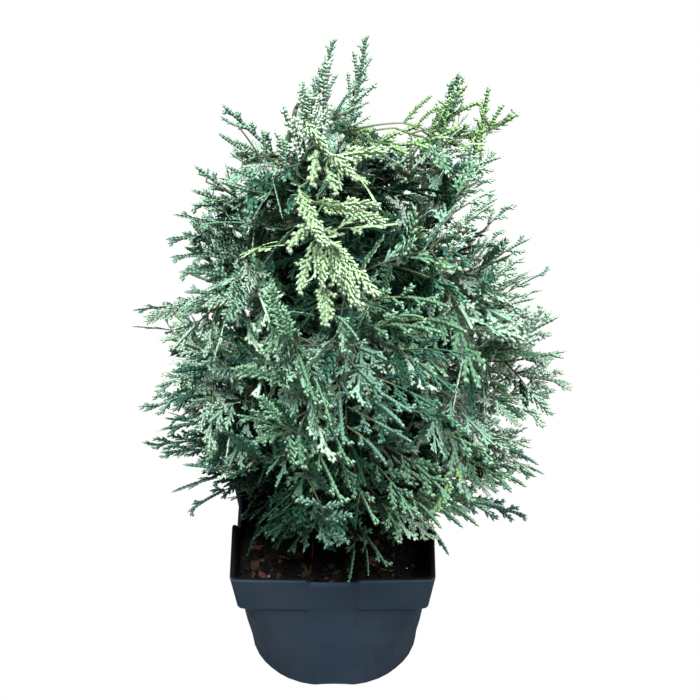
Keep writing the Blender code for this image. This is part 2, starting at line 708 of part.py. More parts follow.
def plan_blades(mass, rng):
    """The blades of one mass: a leading one, side ones to left and right by turns, one raised."""
    root = mass["root"]
    tip = mass["tip"]
    lift = mass["lift"]
    length = (tip - root).length
    out = (tip - root).normalized()
    flat = Vector((0.0, 0.0, 1.0)).cross(out)
    if flat.length < 0.3:
        flat = Vector((1.0, 0.0, 0.0))
    side = Matrix.Rotation(math.radians(rng.uniform(-MASS_ROLL, MASS_ROLL)), 3, out) @ flat.normalized()
    plans = [{"share": max(LEAD_START, mass["enter"] + 0.02), "tip": tip, "scale": 1.0}]
    plans[0]["lift"] = lift * (1.0 - plans[0]["share"]) ** 2
    hand = rng.choice((-1.0, 1.0))
    for wanted in BLADE_STARTS:
        share = max(wanted, mass["enter"] + 0.3 * wanted)
        start = arch(root, tip, lift, share)
        along = (arch(root, tip, lift, share + 0.05) - start).normalized()
        turn = math.radians(BLADE_TURN + rng.uniform(-10.0, 14.0))
        lean = math.radians(rng.uniform(-BLADE_LEAN, BLADE_LEAN))
        plane = Matrix.Rotation(lean, 3, along) @ side
        aim = along * math.cos(turn) + plane * hand * math.sin(turn)
        size = length * (1.0 - share) * rng.uniform(0.85, 1.0)
        plans.append({"share": share, "tip": start + aim * size, "scale": 0.95, "lift": -0.05 * size})
        hand = -hand
    rise = out.cross(side).normalized()
    if rise.z < 0.0:
        rise = -rise
    share = max(RAISED_START, mass["enter"] + 0.1)
    start = arch(root, tip, lift, share)
    plans.append({"share": share, "tip": start + (out * 0.85 + rise * 0.5).normalized() * 0.5 * length,
                  "scale": 0.9, "lift": 0.0})
    for plan in plans:
        plan["start"] = arch(root, tip, lift, plan["share"])
        aim = (plan["tip"] - plan["start"]).normalized()
        plan["draws"] = [(rng.uniform(0.8, 1.0), rng.uniform(0.8, 1.0)) for _ in range(MOST_TEETH)]
        hint = Matrix.Rotation(math.radians(rng.uniform(-BLADE_ROLL, BLADE_ROLL)), 3, aim) @ side
        if abs(hint.dot(aim)) > 0.8:
            hint = aim.cross(side)
        plan["side"] = hint
        plan["scale"] *= mass["width"]
    return plans


def grow_mass(mass, masses, limbs, rng):
    """The blades of one mass that fit in its own space, each with where it leaves the stem."""
    starts, ends, radii = limb_lengths(limbs)

    def inside(points):
        return in_cell(points, mass, masses) & in_crown(points)

    def clear(points):
        return clear_of(points, starts, ends, radii)

    blades = []
    for plan in plan_blades(mass, rng):
        fitted = fit_blade(plan, inside, clear)
        if fitted:
            blades.append((plan["share"], *fitted))
    return blades


def seated_limb(name, group, mass, shares, radii, sides, limbs):
    """A bough or stem on a mass's line, its foot moved until it all but touches what carries it."""
    first, last = shares
    for attempt in range(SEAT_TRIES):
        rows = []
        for step in range(LIMB_STEPS + 1):
            part = step / LIMB_STEPS
            point = arch(mass["root"], mass["tip"], mass["lift"], first + (last - first) * part)
            rows.append((*point, radii[0] + (radii[1] - radii[0]) * part))
        limb = tube(name, group, rows, sides)
        if not limbs or attempt == SEAT_TRIES - 1:
            return limb
        foot = Vector(rows[0][:3])
        ring = sorted((vert.co.copy() for vert in limb.data.vertices), key=lambda spot: (spot - foot).length)
        ring = ring[:sides]
        spots = ring + [one.lerp(other, 0.5) for one in ring for other in ring]
        room = min(nearest(spot, limbs)[0] for spot in spots)
        if abs(room - SEAT) < SEAT_SLACK:
            return limb
        pace = (Vector(rows[1][:3]) - foot).length * LIMB_STEPS / (last - first)
        first += (SEAT - room) / pace
        bpy.data.objects.remove(limb, do_unlink=True)
    return None


def join_mass(mass, blades, group, start, carriers):
    """Fuse a stem and its blades into one closed piece."""
    farthest = max([start + 0.1] + [blade[0] for blade in blades]) + STEM_PAST
    radii = (STEM_RADIUS, STEM_RADIUS + (STEM_TIP - STEM_RADIUS) * farthest)
    stem = seated_limb(mass["name"], group, mass, (start, farthest), radii, TWIG_SIDES, carriers)
    spare = bpy.data.collections.new("blades")
    bpy.context.scene.collection.children.link(spare)
    for index, (_, ribs, pairs) in enumerate(blades):
        object_from(blade_mesh(ribs, pairs), f"blade_{index}", spare)
    fuse = stem.modifiers.new("fuse", "BOOLEAN")
    fuse.operation = "UNION"
    fuse.operand_type = "COLLECTION"
    fuse.collection = spare
    fuse.solver = "EXACT"
    apply_modifiers(stem)
    for blade in list(spare.objects):
        bpy.data.objects.remove(blade, do_unlink=True)
    bpy.data.collections.remove(spare)
    stem.name = mass["name"]
    keep_largest(stem)
    return stem


def keep_largest(obj):
    """Drop loose scraps and slivers that a union leaves."""
    bm = bmesh.new()
    bm.from_mesh(obj.data)
    bmesh.ops.triangulate(bm, faces=bm.faces)
    bmesh.ops.remove_doubles(bm, verts=bm.verts, dist=0.001)
    unseen = set(bm.verts)
    groups = []
    while unseen:
        stack = [unseen.pop()]
        group = list(stack)
        while stack:
            vert = stack.pop()
            for edge in vert.link_edges:
                other = edge.other_vert(vert)
                if other in unseen:
                    unseen.remove(other)
                    stack.append(other)
                    group.append(other)
        groups.append(group)
    groups.sort(key=len, reverse=True)
    for group in groups[1:]:
        bmesh.ops.delete(bm, geom=group, context="VERTS")
    bm.to_mesh(obj.data)
    bm.free()


def enter_share(mass, masses):
    """The share of a mass's line at which it comes into its own space."""
    shares = [step / 100.0 for step in range(2, 60)]
    points = np.array([arch(mass["root"], mass["tip"], mass["lift"], share) for share in shares])
    own = in_cell(points, mass, masses, ENTER_MARGIN)
    return shares[int(np.argmax(own))] if own.any() else shares[-1]


def main():
    clear_scene()
    group = new_collection("potted_false_cypress")
    cutters = new_collection("pot_cutters")
    make_pot(group, cutters)
    make_soil(group)

    trunk = smooth_limb(TRUNK)
    limbs = [trunk, leader_line(RIGHT_LEADER, trunk), leader_line(MIDDLE_LEADER, trunk)]
    bark = ("trunk", "right_leader", "middle_leader")
    for name, line in zip(bark, limbs):
        limb = tube(name, group, line, LIMB_SIDES)
        finish_part(limb, make_material(name + "_bark", BARK_COLOUR, 0.85), smooth=True)

    rng = random.Random(SEED)
    masses = plan_masses(limbs, rng)
    for mass in masses:
        mass["enter"] = max(enter_share(mass, masses), mass["first"] + ENTER_LEAST)
    carried = sorted(masses, key=lambda mass: -mass["enter"] * (mass["tip"] - mass["root"]).length)
    carried = [mass["name"] for mass in carried[:BOUGH_COUNT]]
    lines = {}
    for mass in masses:
        first = mass["first"]
        shares = [first + (mass["enter"] - first) * step / 5.0 for step in range(6)]
        points = [arch(mass["root"], mass["tip"], mass["lift"], share) for share in shares]
        lines[mass["name"]] = [(*point, BOUGH_RADIUS) for point in points]

    for mass in masses:
        others = [line for name, line in lines.items() if name != mass["name"]]
        blades = grow_mass(mass, masses, limbs + others, rng)
        start = mass["first"]
        carriers = limbs if start > 0.0 else None
        if mass["name"] in carried:
            name = mass["name"].replace("sprays", "bough")
            if name == mass["name"]:
                name += "_bough"
            shares = (start, mass["enter"])
            bough = seated_limb(name, group, mass, shares, (BOUGH_RADIUS, STEM_RADIUS), BOUGH_SIDES, limbs)
            finish_part(bough, make_material(name + "_bark", YOUNG_BARK_COLOUR, 0.8), smooth=True)
            here = arch(mass["root"], mass["tip"], mass["lift"], mass["enter"])
            ahead = arch(mass["root"], mass["tip"], mass["lift"], mass["enter"] + 0.01)
            start = mass["enter"] + 0.01 * SPRAY_GAP / (ahead - here).length
            carriers = None
        sprays = join_mass(mass, blades, group, start, carriers)
        colour = PALE_COLOUR if mass["name"].startswith("pale_shoot") else LEAF_COLOUR
        finish_part(sprays, make_material(mass["name"] + "_leaves", colour, 0.6))
        print(mass["name"], len(blades), "blades", len(sprays.data.polygons), "triangles")


main()
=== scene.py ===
# %% [markdown]
# # A young false cypress in a small square nursery pot
#
# The plant is a conifer whose shoots branch in one plane, again and again, until they make flat
# ferny sprays. The sprays are made here from one tiny scale leaf: leaves end to end make a
# branchlet, branchlets left and right by turns make a spray, and sprays on a twig make one of the
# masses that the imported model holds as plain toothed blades.

import math
import random

import bmesh
import bpy
import numpy as np
from mathutils import Matrix, Vector, noise


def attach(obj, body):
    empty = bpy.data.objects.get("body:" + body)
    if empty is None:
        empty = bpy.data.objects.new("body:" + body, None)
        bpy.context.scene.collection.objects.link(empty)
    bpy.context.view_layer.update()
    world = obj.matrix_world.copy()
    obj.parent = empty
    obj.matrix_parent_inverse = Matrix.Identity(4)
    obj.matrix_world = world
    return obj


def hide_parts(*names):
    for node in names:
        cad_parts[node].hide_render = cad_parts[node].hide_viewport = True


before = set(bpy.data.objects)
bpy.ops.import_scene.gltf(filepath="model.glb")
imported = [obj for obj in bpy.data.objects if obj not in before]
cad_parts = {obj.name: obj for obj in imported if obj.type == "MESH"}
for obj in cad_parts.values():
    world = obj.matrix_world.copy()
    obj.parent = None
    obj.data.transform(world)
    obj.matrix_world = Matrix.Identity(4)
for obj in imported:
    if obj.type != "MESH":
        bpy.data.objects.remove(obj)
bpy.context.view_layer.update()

# %% [markdown]
# ## Units and the pot's axis
#
# The plant was laid out in millimetres from the axis of its pot, because that is how one would
# measure it with a ruler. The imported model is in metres, and its middle is the middle of the whole
# plant. Everything here keeps the ruler's millimetres and is moved in one place at the end.

# %% Units
MM = 0.001
POT_AXIS = Vector((-8.3, -2.7, 0.0))
UP = Vector((0.0, 0.0, 1.0))


def to_frame(points):
    """Millimetres from the pot's axis, as metres in the frame."""
    return (np.asarray(points, dtype=float) + np.array(POT_AXIS)) * MM


def mesh_from(bm, name):
    """A mesh in millimetres from the pot's axis, made an object that sits at the origin."""
    bm.transform(Matrix.Scale(MM, 4) @ Matrix.Translation(POT_AXIS))
    mesh = bpy.data.meshes.new(name)
    bm.to_mesh(mesh)
    bm.free()
    piece = bpy.data.objects.new(name, mesh)
    bpy.context.scene.collection.objects.link(piece)
    return piece


print("the pot's axis stands at", [round(value, 4) for value in POT_AXIS * MM])

# %% [markdown]
# ## Camera
#
# The photograph looks down on the pot: its rim shows its far side, and the sides of the pot narrow
# towards the foot by more than their real taper. A camera fitted to the corners of the rim stands
# about 0.7 m away and 40 degrees above the middle of the plant, with a short telephoto lens.

# %% Camera
VIEW_RISE = math.radians(40.0)
VIEW_AWAY = 0.693
VIEW_MIDDLE = Vector((-0.0007, -0.0027, 0.173))
LENS_LENGTH = 84.857
LENS_SENSOR = 36.0

lens = bpy.data.cameras.new("camera")
lens.lens = LENS_LENGTH
lens.sensor_width = LENS_SENSOR
camera = bpy.data.objects.new("camera", lens)
camera.location = VIEW_MIDDLE + Vector((0.0, -math.cos(VIEW_RISE), math.sin(VIEW_RISE))) * VIEW_AWAY
camera.rotation_euler = (0.5 * math.pi - VIEW_RISE, 0.0, 0.0)
bpy.context.scene.collection.objects.link(camera)
bpy.context.scene.camera = camera
print("camera at", [round(value, 3) for value in camera.location])

# %% [markdown]
# ## Floor and light
#
# The plant stands in front of an over-exposed white backdrop: no shadow shows on it, yet the
# spaces between the sprays are nearly black, so little light comes back from it. The lens is sent
# plain white, while the plant sees a pale floor, a weak sky and two large soft lamps. The larger
# lamp is above and in front, so that the tops of the sprays are light.

# %% White for the lens
WHITE = (1.0, 1.0, 1.0, 1.0)


def over_exposed(tree, plain, output):
    """Send the lens a plain white, and everything else the plain surface or sky."""
    path = tree.nodes.new("ShaderNodeLightPath")
    white = tree.nodes.new("ShaderNodeEmission" if output.bl_idname == "ShaderNodeOutputMaterial"
                           else "ShaderNodeBackground")
    white.inputs["Color"].default_value = WHITE
    mix = tree.nodes.new("ShaderNodeMixShader")
    tree.links.new(path.outputs["Is Camera Ray"], mix.inputs["Fac"])
    tree.links.new(plain.outputs[0], mix.inputs[1])
    tree.links.new(white.outputs[0], mix.inputs[2])
    tree.links.new(mix.outputs[0], output.inputs["Surface"])


print("the lens will see", WHITE)

# %% Floor
FLOOR_SIZE = 6.0
FLOOR_COLOUR = (0.30, 0.30, 0.30, 1.0)
FLOOR_ROUGH = 0.9

bm = bmesh.new()
bmesh.ops.create_grid(bm, x_segments=1, y_segments=1, size=0.5 * FLOOR_SIZE)
floor_mesh = bpy.data.meshes.new("floor")
bm.to_mesh(floor_mesh)
bm.free()
floor = bpy.data.objects.new("floor", floor_mesh)
bpy.context.scene.collection.objects.link(floor)
floor_look = bpy.data.materials.new("floor_white")
floor_look.use_nodes = True
floor_shader = floor_look.node_tree.nodes["Principled BSDF"]
floor_shader.inputs["Base Color"].default_value = FLOOR_COLOUR
floor_shader.inputs["Roughness"].default_value = FLOOR_ROUGH
over_exposed(floor_look.node_tree, floor_shader, floor_look.node_tree.nodes["Material Output"])
floor_mesh.materials.append(floor_look)
print("a floor", FLOOR_SIZE, "m wide")

# %% Sky
SKY_STRENGTH = 0.13
world = bpy.data.worlds.new("studio")
world.use_nodes = True
sky = world.node_tree.nodes["Background"]
sky.inputs["Color"].default_value = WHITE
sky.inputs["Strength"].default_value = SKY_STRENGTH
over_exposed(world.node_tree, sky, world.node_tree.nodes["World Output"])
bpy.context.scene.world = world
bpy.context.scene.view_settings.view_transform = "Standard"
print("a sky of strength", SKY_STRENGTH)

# %% Lamps
LAMPS = (
    ("lamp_above", (-0.22, -0.50, 1.55), 0.6, 86.0),
    ("lamp_side", (0.95, -0.35, 1.0), 0.6, 20.0),
)


def lamp_at(name, place, size, power):
    """A square soft lamp that faces the middle of the plant."""
    data = bpy.data.lights.new(name, "AREA")
    data.size = size
    data.energy = power
    lamp = bpy.data.objects.new(name, data)
    lamp.location = place
    lamp.rotation_euler = (VIEW_MIDDLE - Vector(place)).to_track_quat("-Z", "Y").to_euler()
    bpy.context.scene.collection.objects.link(lamp)
    return lamp


for lamp in LAMPS:
    lamp_at(*lamp)
print(len(LAMPS), "lamps")

# %% [markdown]
# ## The plant's own lines
#
# The trunk leans left of the pot's middle and two more leaders leave it low down, one to the right
# and one behind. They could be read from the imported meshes, but a growing rule needs their middle
# lines, so the same few points are named again, each with its radius last.

# %% Trunk and leaders
SOIL_TOP = 70.0
GAP = 0.35
TRUNK = (
    (0.0, 0.0, SOIL_TOP + GAP, 5.4),
    (0.0, 0.0, 73.0, 4.1),
    (-1.2, 0.4, 79.0, 3.3),
    (-4.0, 1.0, 96.0, 2.9),
    (-10.0, 2.0, 125.0, 2.5),
    (-16.0, 2.0, 160.0, 2.2),
    (-19.5, 1.0, 200.0, 1.9),
    (-20.0, -1.0, 240.0, 1.5),
    (-17.0, -4.0, 272.0, 1.1),
    (-12.5, -5.0, 294.0, 0.8),
)
RIGHT_LEADER = (
    (-2.8, 0.8, 90.0, 2.3),
    (10.0, -2.0, 128.0, 2.1),
    (20.0, -2.0, 162.0, 1.8),
    (28.5, -2.0, 200.0, 1.5),
    (33.0, -3.0, 235.0, 1.2),
    (37.0, -5.0, 268.0, 0.9),
)
MIDDLE_LEADER = (
    (-1.8, 0.6, 84.0, 2.2),
    (0.0, 13.0, 125.0, 2.0),
    (2.0, 18.0, 165.0, 1.7),
    (5.0, 15.0, 210.0, 1.4),
    (7.5, 8.0, 250.0, 1.1),
    (9.0, 3.0, 277.0, 0.8),
)
print("the trunk is", round(TRUNK[-1][2] - TRUNK[0][2]), "mm high")

# %% Smooth limbs
LIMB_STEP = 9.0


def smooth_limb(points, step=LIMB_STEP):
    """Points and radii along a limb, rounded between the named ones."""
    rows = [Vector(point) for point in points]
    line = []
    for index in range(len(rows) - 1):
        before = rows[max(index - 1, 0)]
        start = rows[index]
        end = rows[index + 1]
        after = rows[min(index + 2, len(rows) - 1)]
        count = max(1, round((end.xyz - start.xyz).length / step))
        for part in range(count):
            t = part / count
            bend = (2.0 * start + (end - before) * t
                    + (2.0 * before - 5.0 * start + 4.0 * end - after) * t * t
                    + (3.0 * start - before - 3.0 * end + after) * t ** 3)
            line.append(tuple(0.5 * bend))
    line.append(tuple(rows[-1]))
    return line


trunk_line = smooth_limb(TRUNK)
print("the trunk has", len(trunk_line), "points")

# %% Room round the limbs
LEAST_SQUARE = 1e-6


def limb_lengths(lines):
    """Limbs as arrays of the starts, ends and radii of their short lengths."""
    starts = np.array([row[:3] for line in lines for row in line[:-1]])
    ends = np.array([row[:3] for line in lines for row in line[1:]])
    radii = np.array([row[3] for line in lines for row in line[:-1]])
    return starts, ends, radii


def nearest(point, lines):
    """The least room between a point and the limbs, and the way out from the nearest."""
    starts, ends, radii = limb_lengths(lines)
    along = ends - starts
    rise = np.array(point) - starts
    square = np.maximum((along * along).sum(axis=1), LEAST_SQUARE)
    share = np.clip((rise * along).sum(axis=1) / square, 0.0, 1.0)
    away = rise - share[:, None] * along
    room = np.linalg.norm(away, axis=1) - radii
    index = int(np.argmin(room))
    return float(room[index]), Vector(away[index])


print("room at the soil's edge", round(nearest((40.0, 0.0, SOIL_TOP), [trunk_line])[0]), "mm")

# %% Leaders clear of the trunk
LEADER_STEP = 4.0
START_PARTS = 500
START_TRIES = 400
LATEST_START = 0.5
LOOK_AHEAD = 0.01
NEAR_END = 0.999


def clear_start(place, lines, radius):
    """The share of a line at which a limb can start with a small gap to what carries it."""
    for step in range(1, START_TRIES):
        share = step / START_PARTS
        point = place(share)
        room, away = nearest(point, lines)
        along = (place(share + LOOK_AHEAD) - point).normalized()
        lean = math.sqrt(max(0.0, 1.0 - along.dot(away.normalized()) ** 2))
        if room > GAP + radius * lean:
            return share
    return LATEST_START


def leader_line(points, trunk):
    """A leader's line, cut where it comes clear of the trunk."""
    line = [Vector(row) for row in smooth_limb(points, LEADER_STEP)]

    def place(share):
        spot = min(share, NEAR_END) * (len(line) - 1)
        index = int(spot)
        return line[index].xyz.lerp(line[index + 1].xyz, spot - index)

    first = clear_start(place, [trunk], points[0][3])
    kept = [row for index, row in enumerate(line) if index > first * (len(line) - 1) + 0.5]
    return [(*place(first), points[0][3])] + [tuple(row) for row in kept[::2]] + [tuple(line[-1])]


limbs = [trunk_line, leader_line(RIGHT_LEADER, trunk_line), leader_line(MIDDLE_LEADER, trunk_line)]
print("limbs with", [len(line) for line in limbs], "points")

# %% [markdown]
# ## Where the masses grow
#
# Six tiers of boughs stand round the crown like the spokes of wheels, and a few masses have places
# of their own: the tips on top, the pale shoots, and the long sprays that fall over the front. The
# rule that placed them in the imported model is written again, with the same seed, so that each
# spray grows from the spot where its plain blade stands.

# %% Reach of the crown
CROWN_X = 8.0
HEIGHTS = (70.0, 90.0, 115.0, 145.0, 185.0, 215.0, 240.0, 265.0, 290.0, 320.0)
REACH_LEFT = (62.0, 76.0, 84.0, 89.0, 88.0, 76.0, 70.0, 60.0, 50.0, 12.0)
REACH_RIGHT = (74.0, 80.0, 86.0, 94.0, 88.0, 82.0, 70.0, 66.0, 62.0, 34.0)
REACH_FRONT = (32.0, 42.0, 58.0, 70.0, 74.0, 68.0, 60.0, 50.0, 38.0, 16.0)
REACH_BACK = (46.0, 60.0, 70.0, 76.0, 76.0, 68.0, 56.0, 40.0, 20.0, 10.0)


def blend(value, keys, values):
    """A value read between the two nearest named ones."""
    return float(np.interp(value, keys, values))


def reach(bearing, height):
    """How far the crown reaches from its line on a bearing at a height."""
    across = blend(height, HEIGHTS, REACH_RIGHT if math.cos(bearing) > 0.0 else REACH_LEFT)
    along = blend(height, HEIGHTS, REACH_BACK if math.sin(bearing) > 0.0 else REACH_FRONT)
    return 1.0 / math.hypot(math.cos(bearing) / across, math.sin(bearing) / along)


print("the crown reaches", round(reach(0.0, HEIGHTS[3])), "mm to the right of its line")

# %% Named places of masses
TIERS = (
    # name, number of boughs, first bearing, height of the tips, height of the roots, lift
    ("skirt", 6, 12.0, 104.0, 82.0, 14.0),
    ("low", 7, -6.0, 126.0, 92.0, 10.0),
    ("middle", 8, 8.0, 163.0, 108.0, 6.0),
    ("upper", 8, -6.0, 203.0, 138.0, 2.0),
    ("high", 6, 6.0, 243.0, 180.0, -2.0),
    ("crest", 4, -25.0, 276.0, 218.0, -3.0),
)
OWN_MASSES = (
    # name, limb, height of the root or None at the limb's end, tip, lift
    ("tip_left", 0, None, (2.0, -3.0, 320.0), 1.0),
    ("tip_right", 1, None, (58.0, -1.0, 299.0), 1.0),
    ("tip_middle", 2, None, (13.0, 0.0, 321.0), 0.0),
    ("crown_right", 1, 236.0, (29.0, -8.0, 292.0), 2.0),
    ("crown_side", 1, 232.0, (70.0, 4.0, 272.0), 5.0),
    ("crown_left", 0, 250.0, (-40.0, 2.0, 288.0), 4.0),
    ("crown_front", 0, 238.0, (-3.0, -16.0, 303.0), 0.0),
    ("side_left_high", 0, 214.0, (-51.0, -6.0, 262.0), 4.0),
    ("side_left", 0, 146.0, (-76.0, -16.0, 196.0), 6.0),
    ("side_left_low", 0, 112.0, (-80.0, -6.0, 142.0), 8.0),
    ("side_right_high", 1, 176.0, (86.0, 2.0, 216.0), 6.0),
    ("side_right", 1, 132.0, (98.0, -2.0, 152.0), 8.0),
    ("side_right_low", 1, 106.0, (86.0, 10.0, 86.0), 12.0),
    ("pale_shoot", 0, 266.0, (18.0, -30.0, 268.0), 26.0),
    ("pale_shoot_low", 0, 240.0, (12.0, -50.0, 236.0), 30.0),
    ("fall_wide_left", 0, 222.0, (-46.0, -50.0, 206.0), 34.0),
    ("fall_high_left", 0, 200.0, (-7.0, -62.0, 172.0), 38.0),
    ("fall_high_middle", 2, 232.0, (20.0, -62.0, 152.0), 50.0),
    ("fall_high_right", 1, 224.0, (58.0, -48.0, 196.0), 30.0),
    ("fall_left", 0, 164.0, (-50.0, -52.0, 150.0), 30.0),
    ("fall_middle", 0, 186.0, (20.0, -64.0, 106.0), 52.0),
    ("fall_right", 1, 186.0, (60.0, -52.0, 128.0), 40.0),
)
print(len(TIERS), "tiers and", len(OWN_MASSES), "masses with places of their own")

# %% Room for a mass
INNER_SHARE = 0.45
INNER_STEPS = 15
NUDGES = (0.0, 4.0, -4.0, 8.0, -8.0, 12.0, 16.0, 20.0)
ROOT_ROOM = 1.5
BOUGH_RADIUS = 1.7
STEM_RADIUS = 1.25
LEAST_RISE = 0.001
FAR_OFF = (0.0, 0.0, -99.0)


def arch(start, tip, lift, share):
    """A point on the arching line of a bough or a spray."""
    control = start.lerp(tip, 0.5) + Vector((0.0, 0.0, lift))
    return start.lerp(control, share).lerp(control.lerp(tip, share), share)


def limb_at(line, height):
    """The point and radius of a limb where it passes a height, or None."""
    for start, end in zip(line, line[1:]):
        if start[2] <= height <= end[2]:
            share = (height - start[2]) / max(end[2] - start[2], LEAST_RISE)
            return [a + (b - a) * share for a, b in zip(start, end)]
    return None


def inner_points(mass):
    """Points along the inner half of a mass's line."""
    first = mass["first"]
    shares = [first + (INNER_SHARE - first) * step / (INNER_STEPS - 1)
              for step in range(INNER_STEPS)]
    return [arch(mass["root"], mass["tip"], mass["lift"], share) for share in shares]


def place_mass(name, carrier, level, tip, lift, placed):
    """One mass rooted near a height, moved up or down to keep off what is there already."""
    for nudge in NUDGES:
        spot = limb_at(limbs[carrier], level + nudge)
        if not spot:
            continue
        mass = {"name": name, "root": Vector(spot[:3]), "tip": tip, "lift": lift}
        mass["first"] = clear_start(lambda share: arch(mass["root"], tip, lift, share),
                                    limbs, BOUGH_RADIUS)
        points = np.array(inner_points(mass))
        taken = np.array([point for other in placed for point in inner_points(other)] or [FAR_OFF])
        apart = np.linalg.norm(points[:, None, :] - taken[None, :, :], axis=2).min()
        room = min(nearest(point, limbs)[0] for point in points[1:])
        if apart > 2.0 * BOUGH_RADIUS + ROOT_ROOM and room > STEM_RADIUS:
            return mass
    return None


print("a mass has", len(NUDGES), "tries to find room")

# %% Plan of the masses
SEED = 23
OWN_ROOM = 24.0
SITE_SHARE = 0.62
BEARING_SPREAD = 0.12
HEIGHT_SPREAD = 9.0
REACH_SPREAD = (0.97, 1.03)
ROOT_STAGGER = (6.0, 3.0)


def plan_masses(rng):
    """Every mass: its name, root, tip and lift, and the middle of its own space."""
    placed = []
    for name, carrier, level, tip, lift in OWN_MASSES:
        tip = Vector(tip)
        if level is None:
            end = Vector(limbs[carrier][-1][:3])
            root = end + (tip - end).normalized() * GAP
            mass = {"name": name, "root": root, "tip": tip, "lift": lift, "first": 0.0}
        else:
            mass = place_mass(name, carrier, level, tip, lift, placed)
        mass["site"] = arch(mass["root"], mass["tip"], mass["lift"], SITE_SHARE)
        placed.append(mass)
    own = list(placed)
    for name, count, first, tip_height, root_height, lift in TIERS:
        for index in range(count):
            spoke = index + rng.uniform(-BEARING_SPREAD, BEARING_SPREAD)
            bearing = math.radians(first + 360.0 * spoke / count)
            height = tip_height + rng.uniform(-HEIGHT_SPREAD, HEIGHT_SPREAD)
            away = reach(bearing, height) * rng.uniform(*REACH_SPREAD)
            tip = Vector((CROWN_X + away * math.cos(bearing), away * math.sin(bearing), height))
            level = root_height + (index % 3) * ROOT_STAGGER[0] - (index % 2) * ROOT_STAGGER[1]
            options = [number for number, line in enumerate(limbs) if limb_at(line, level)]
            carrier = min(options, key=lambda at: (
                Vector(limb_at(limbs[at], level)[:2]) - tip.xy).length)
            mass = place_mass(f"{name}_sprays_{index + 1}", carrier, level, tip, lift, placed)
            if not mass:
                continue
            mass["site"] = arch(mass["root"], mass["tip"], mass["lift"], SITE_SHARE)
            if min((mass["site"] - one["site"]).length for one in own) > OWN_ROOM:
                placed.append(mass)
    return placed


packed_draws = random.Random(SEED)
masses = plan_masses(packed_draws)
print(len(masses), "masses")

# %% Own space of a mass
ENTER_MARGIN = 2.0
ENTER_LEAST = 0.04
ENTER_PERCENTS = range(2, 60)


def in_cell(points, mass, masses, margin):
    """Whether points lie nearer to the mass's own middle than to any other's, by a margin."""
    inside = np.ones(len(points), dtype=bool)
    for other in masses:
        if other is mass:
            continue
        across = other["site"] - mass["site"]
        depth = (points - np.array(mass["site"])) @ np.array(across.normalized())
        inside &= depth < 0.5 * across.length - margin
    return inside


def enter_share(mass, masses):
    """The share of a mass's line at which it comes into its own space."""
    shares = [percent / 100.0 for percent in ENTER_PERCENTS]
    points = np.array([arch(mass["root"], mass["tip"], mass["lift"], share) for share in shares])
    own = in_cell(points, mass, masses, ENTER_MARGIN)
    return shares[int(np.argmax(own))] if own.any() else shares[-1]


for mass in masses:
    mass["enter"] = max(enter_share(mass, masses), mass["first"] + ENTER_LEAST)

# %% [markdown]
# ## One scale leaf
#
# The real leaf is a scale about two millimetres long, pressed to its twig, with a ridge on its
# back. Nearly all triangles of the model go into these, so each one has six: a three-sided cone
# with its base drawn out to a second point. It could be a flat card, but a card shows nothing
# when seen edge on. The leaf at the end of a twig is wider near its tip, as a blunt bud is.

# %% Scale leaf
LEAF_LENGTH = 1.6
LEAF_WIDTH = 2.05
LEAF_THICK = 0.36
LEAF_SHAPE = (0.3, 2.8)
LOBE_SHAPE = (0.9, 1.75)
CONE_RADIUS = 0.577
TINY = 0.001
DOWNWARD = -0.9


def leaf_form(widest, past):
    """The points and triangles of a leaf one unit wide and thick that lies along +X, ridge up.

    It is widest at a first length, and its tip ends at a second, over the next leaf.
    """
    bm = bmesh.new()
    bmesh.ops.create_cone(bm, cap_ends=True, segments=3, radius1=CONE_RADIUS, radius2=0.0,
                          depth=past - widest)
    base = [face for face in bm.faces if face.normal.z < DOWNWARD]
    foot = bmesh.ops.poke(bm, faces=base)["verts"][0]
    foot.co.z -= widest
    bmesh.ops.remove_doubles(bm, verts=bm.verts, dist=TINY)
    bmesh.ops.triangulate(bm, faces=bm.faces)
    bmesh.ops.recalc_face_normals(bm, faces=bm.faces)
    low = min(vert.co.z for vert in bm.verts)
    bmesh.ops.translate(bm, verts=bm.verts, vec=(0.0, 0.0, -low))
    bmesh.ops.transform(bm, verts=bm.verts, matrix=Matrix.Rotation(math.radians(90.0), 4, "Y"))
    points = np.array([vert.co for vert in bm.verts])
    ring = points[np.abs(points[:, 0] - widest) < 10.0 * TINY]
    ridge = ring[np.argmax(ring[:, 2])]
    spin = math.atan2(ridge[1], ridge[2])
    bmesh.ops.transform(bm, verts=bm.verts, matrix=Matrix.Rotation(spin, 4, "X"))
    points = np.array([vert.co for vert in bm.verts])
    triangles = np.array([[vert.index for vert in face.verts] for face in bm.faces])
    bm.free()
    return points, triangles


leaf_points, leaf_triangles = leaf_form(*LEAF_SHAPE)
lobe_points, _ = leaf_form(*LOBE_SHAPE)
print("a leaf of", len(leaf_points), "points and", len(leaf_triangles), "triangles")

# %% [markdown]
# ## Patterns of sprays
#
# A spray branches left and right by turns in one plane, its branchlets branch once more, and each
# ends in a blunter, lighter leaf. A few patterns of different outline are grown flat, from a seed,
# and each spray of the crown is one of them, bent along its own line. Growing every spray anew
# would look no richer and take far longer.

# %% Chain of leaves
BODY, EDGE, TIP, AXIS = range(4)
BLUNT = 0.8
BLUNT_WIDTH = 0.80


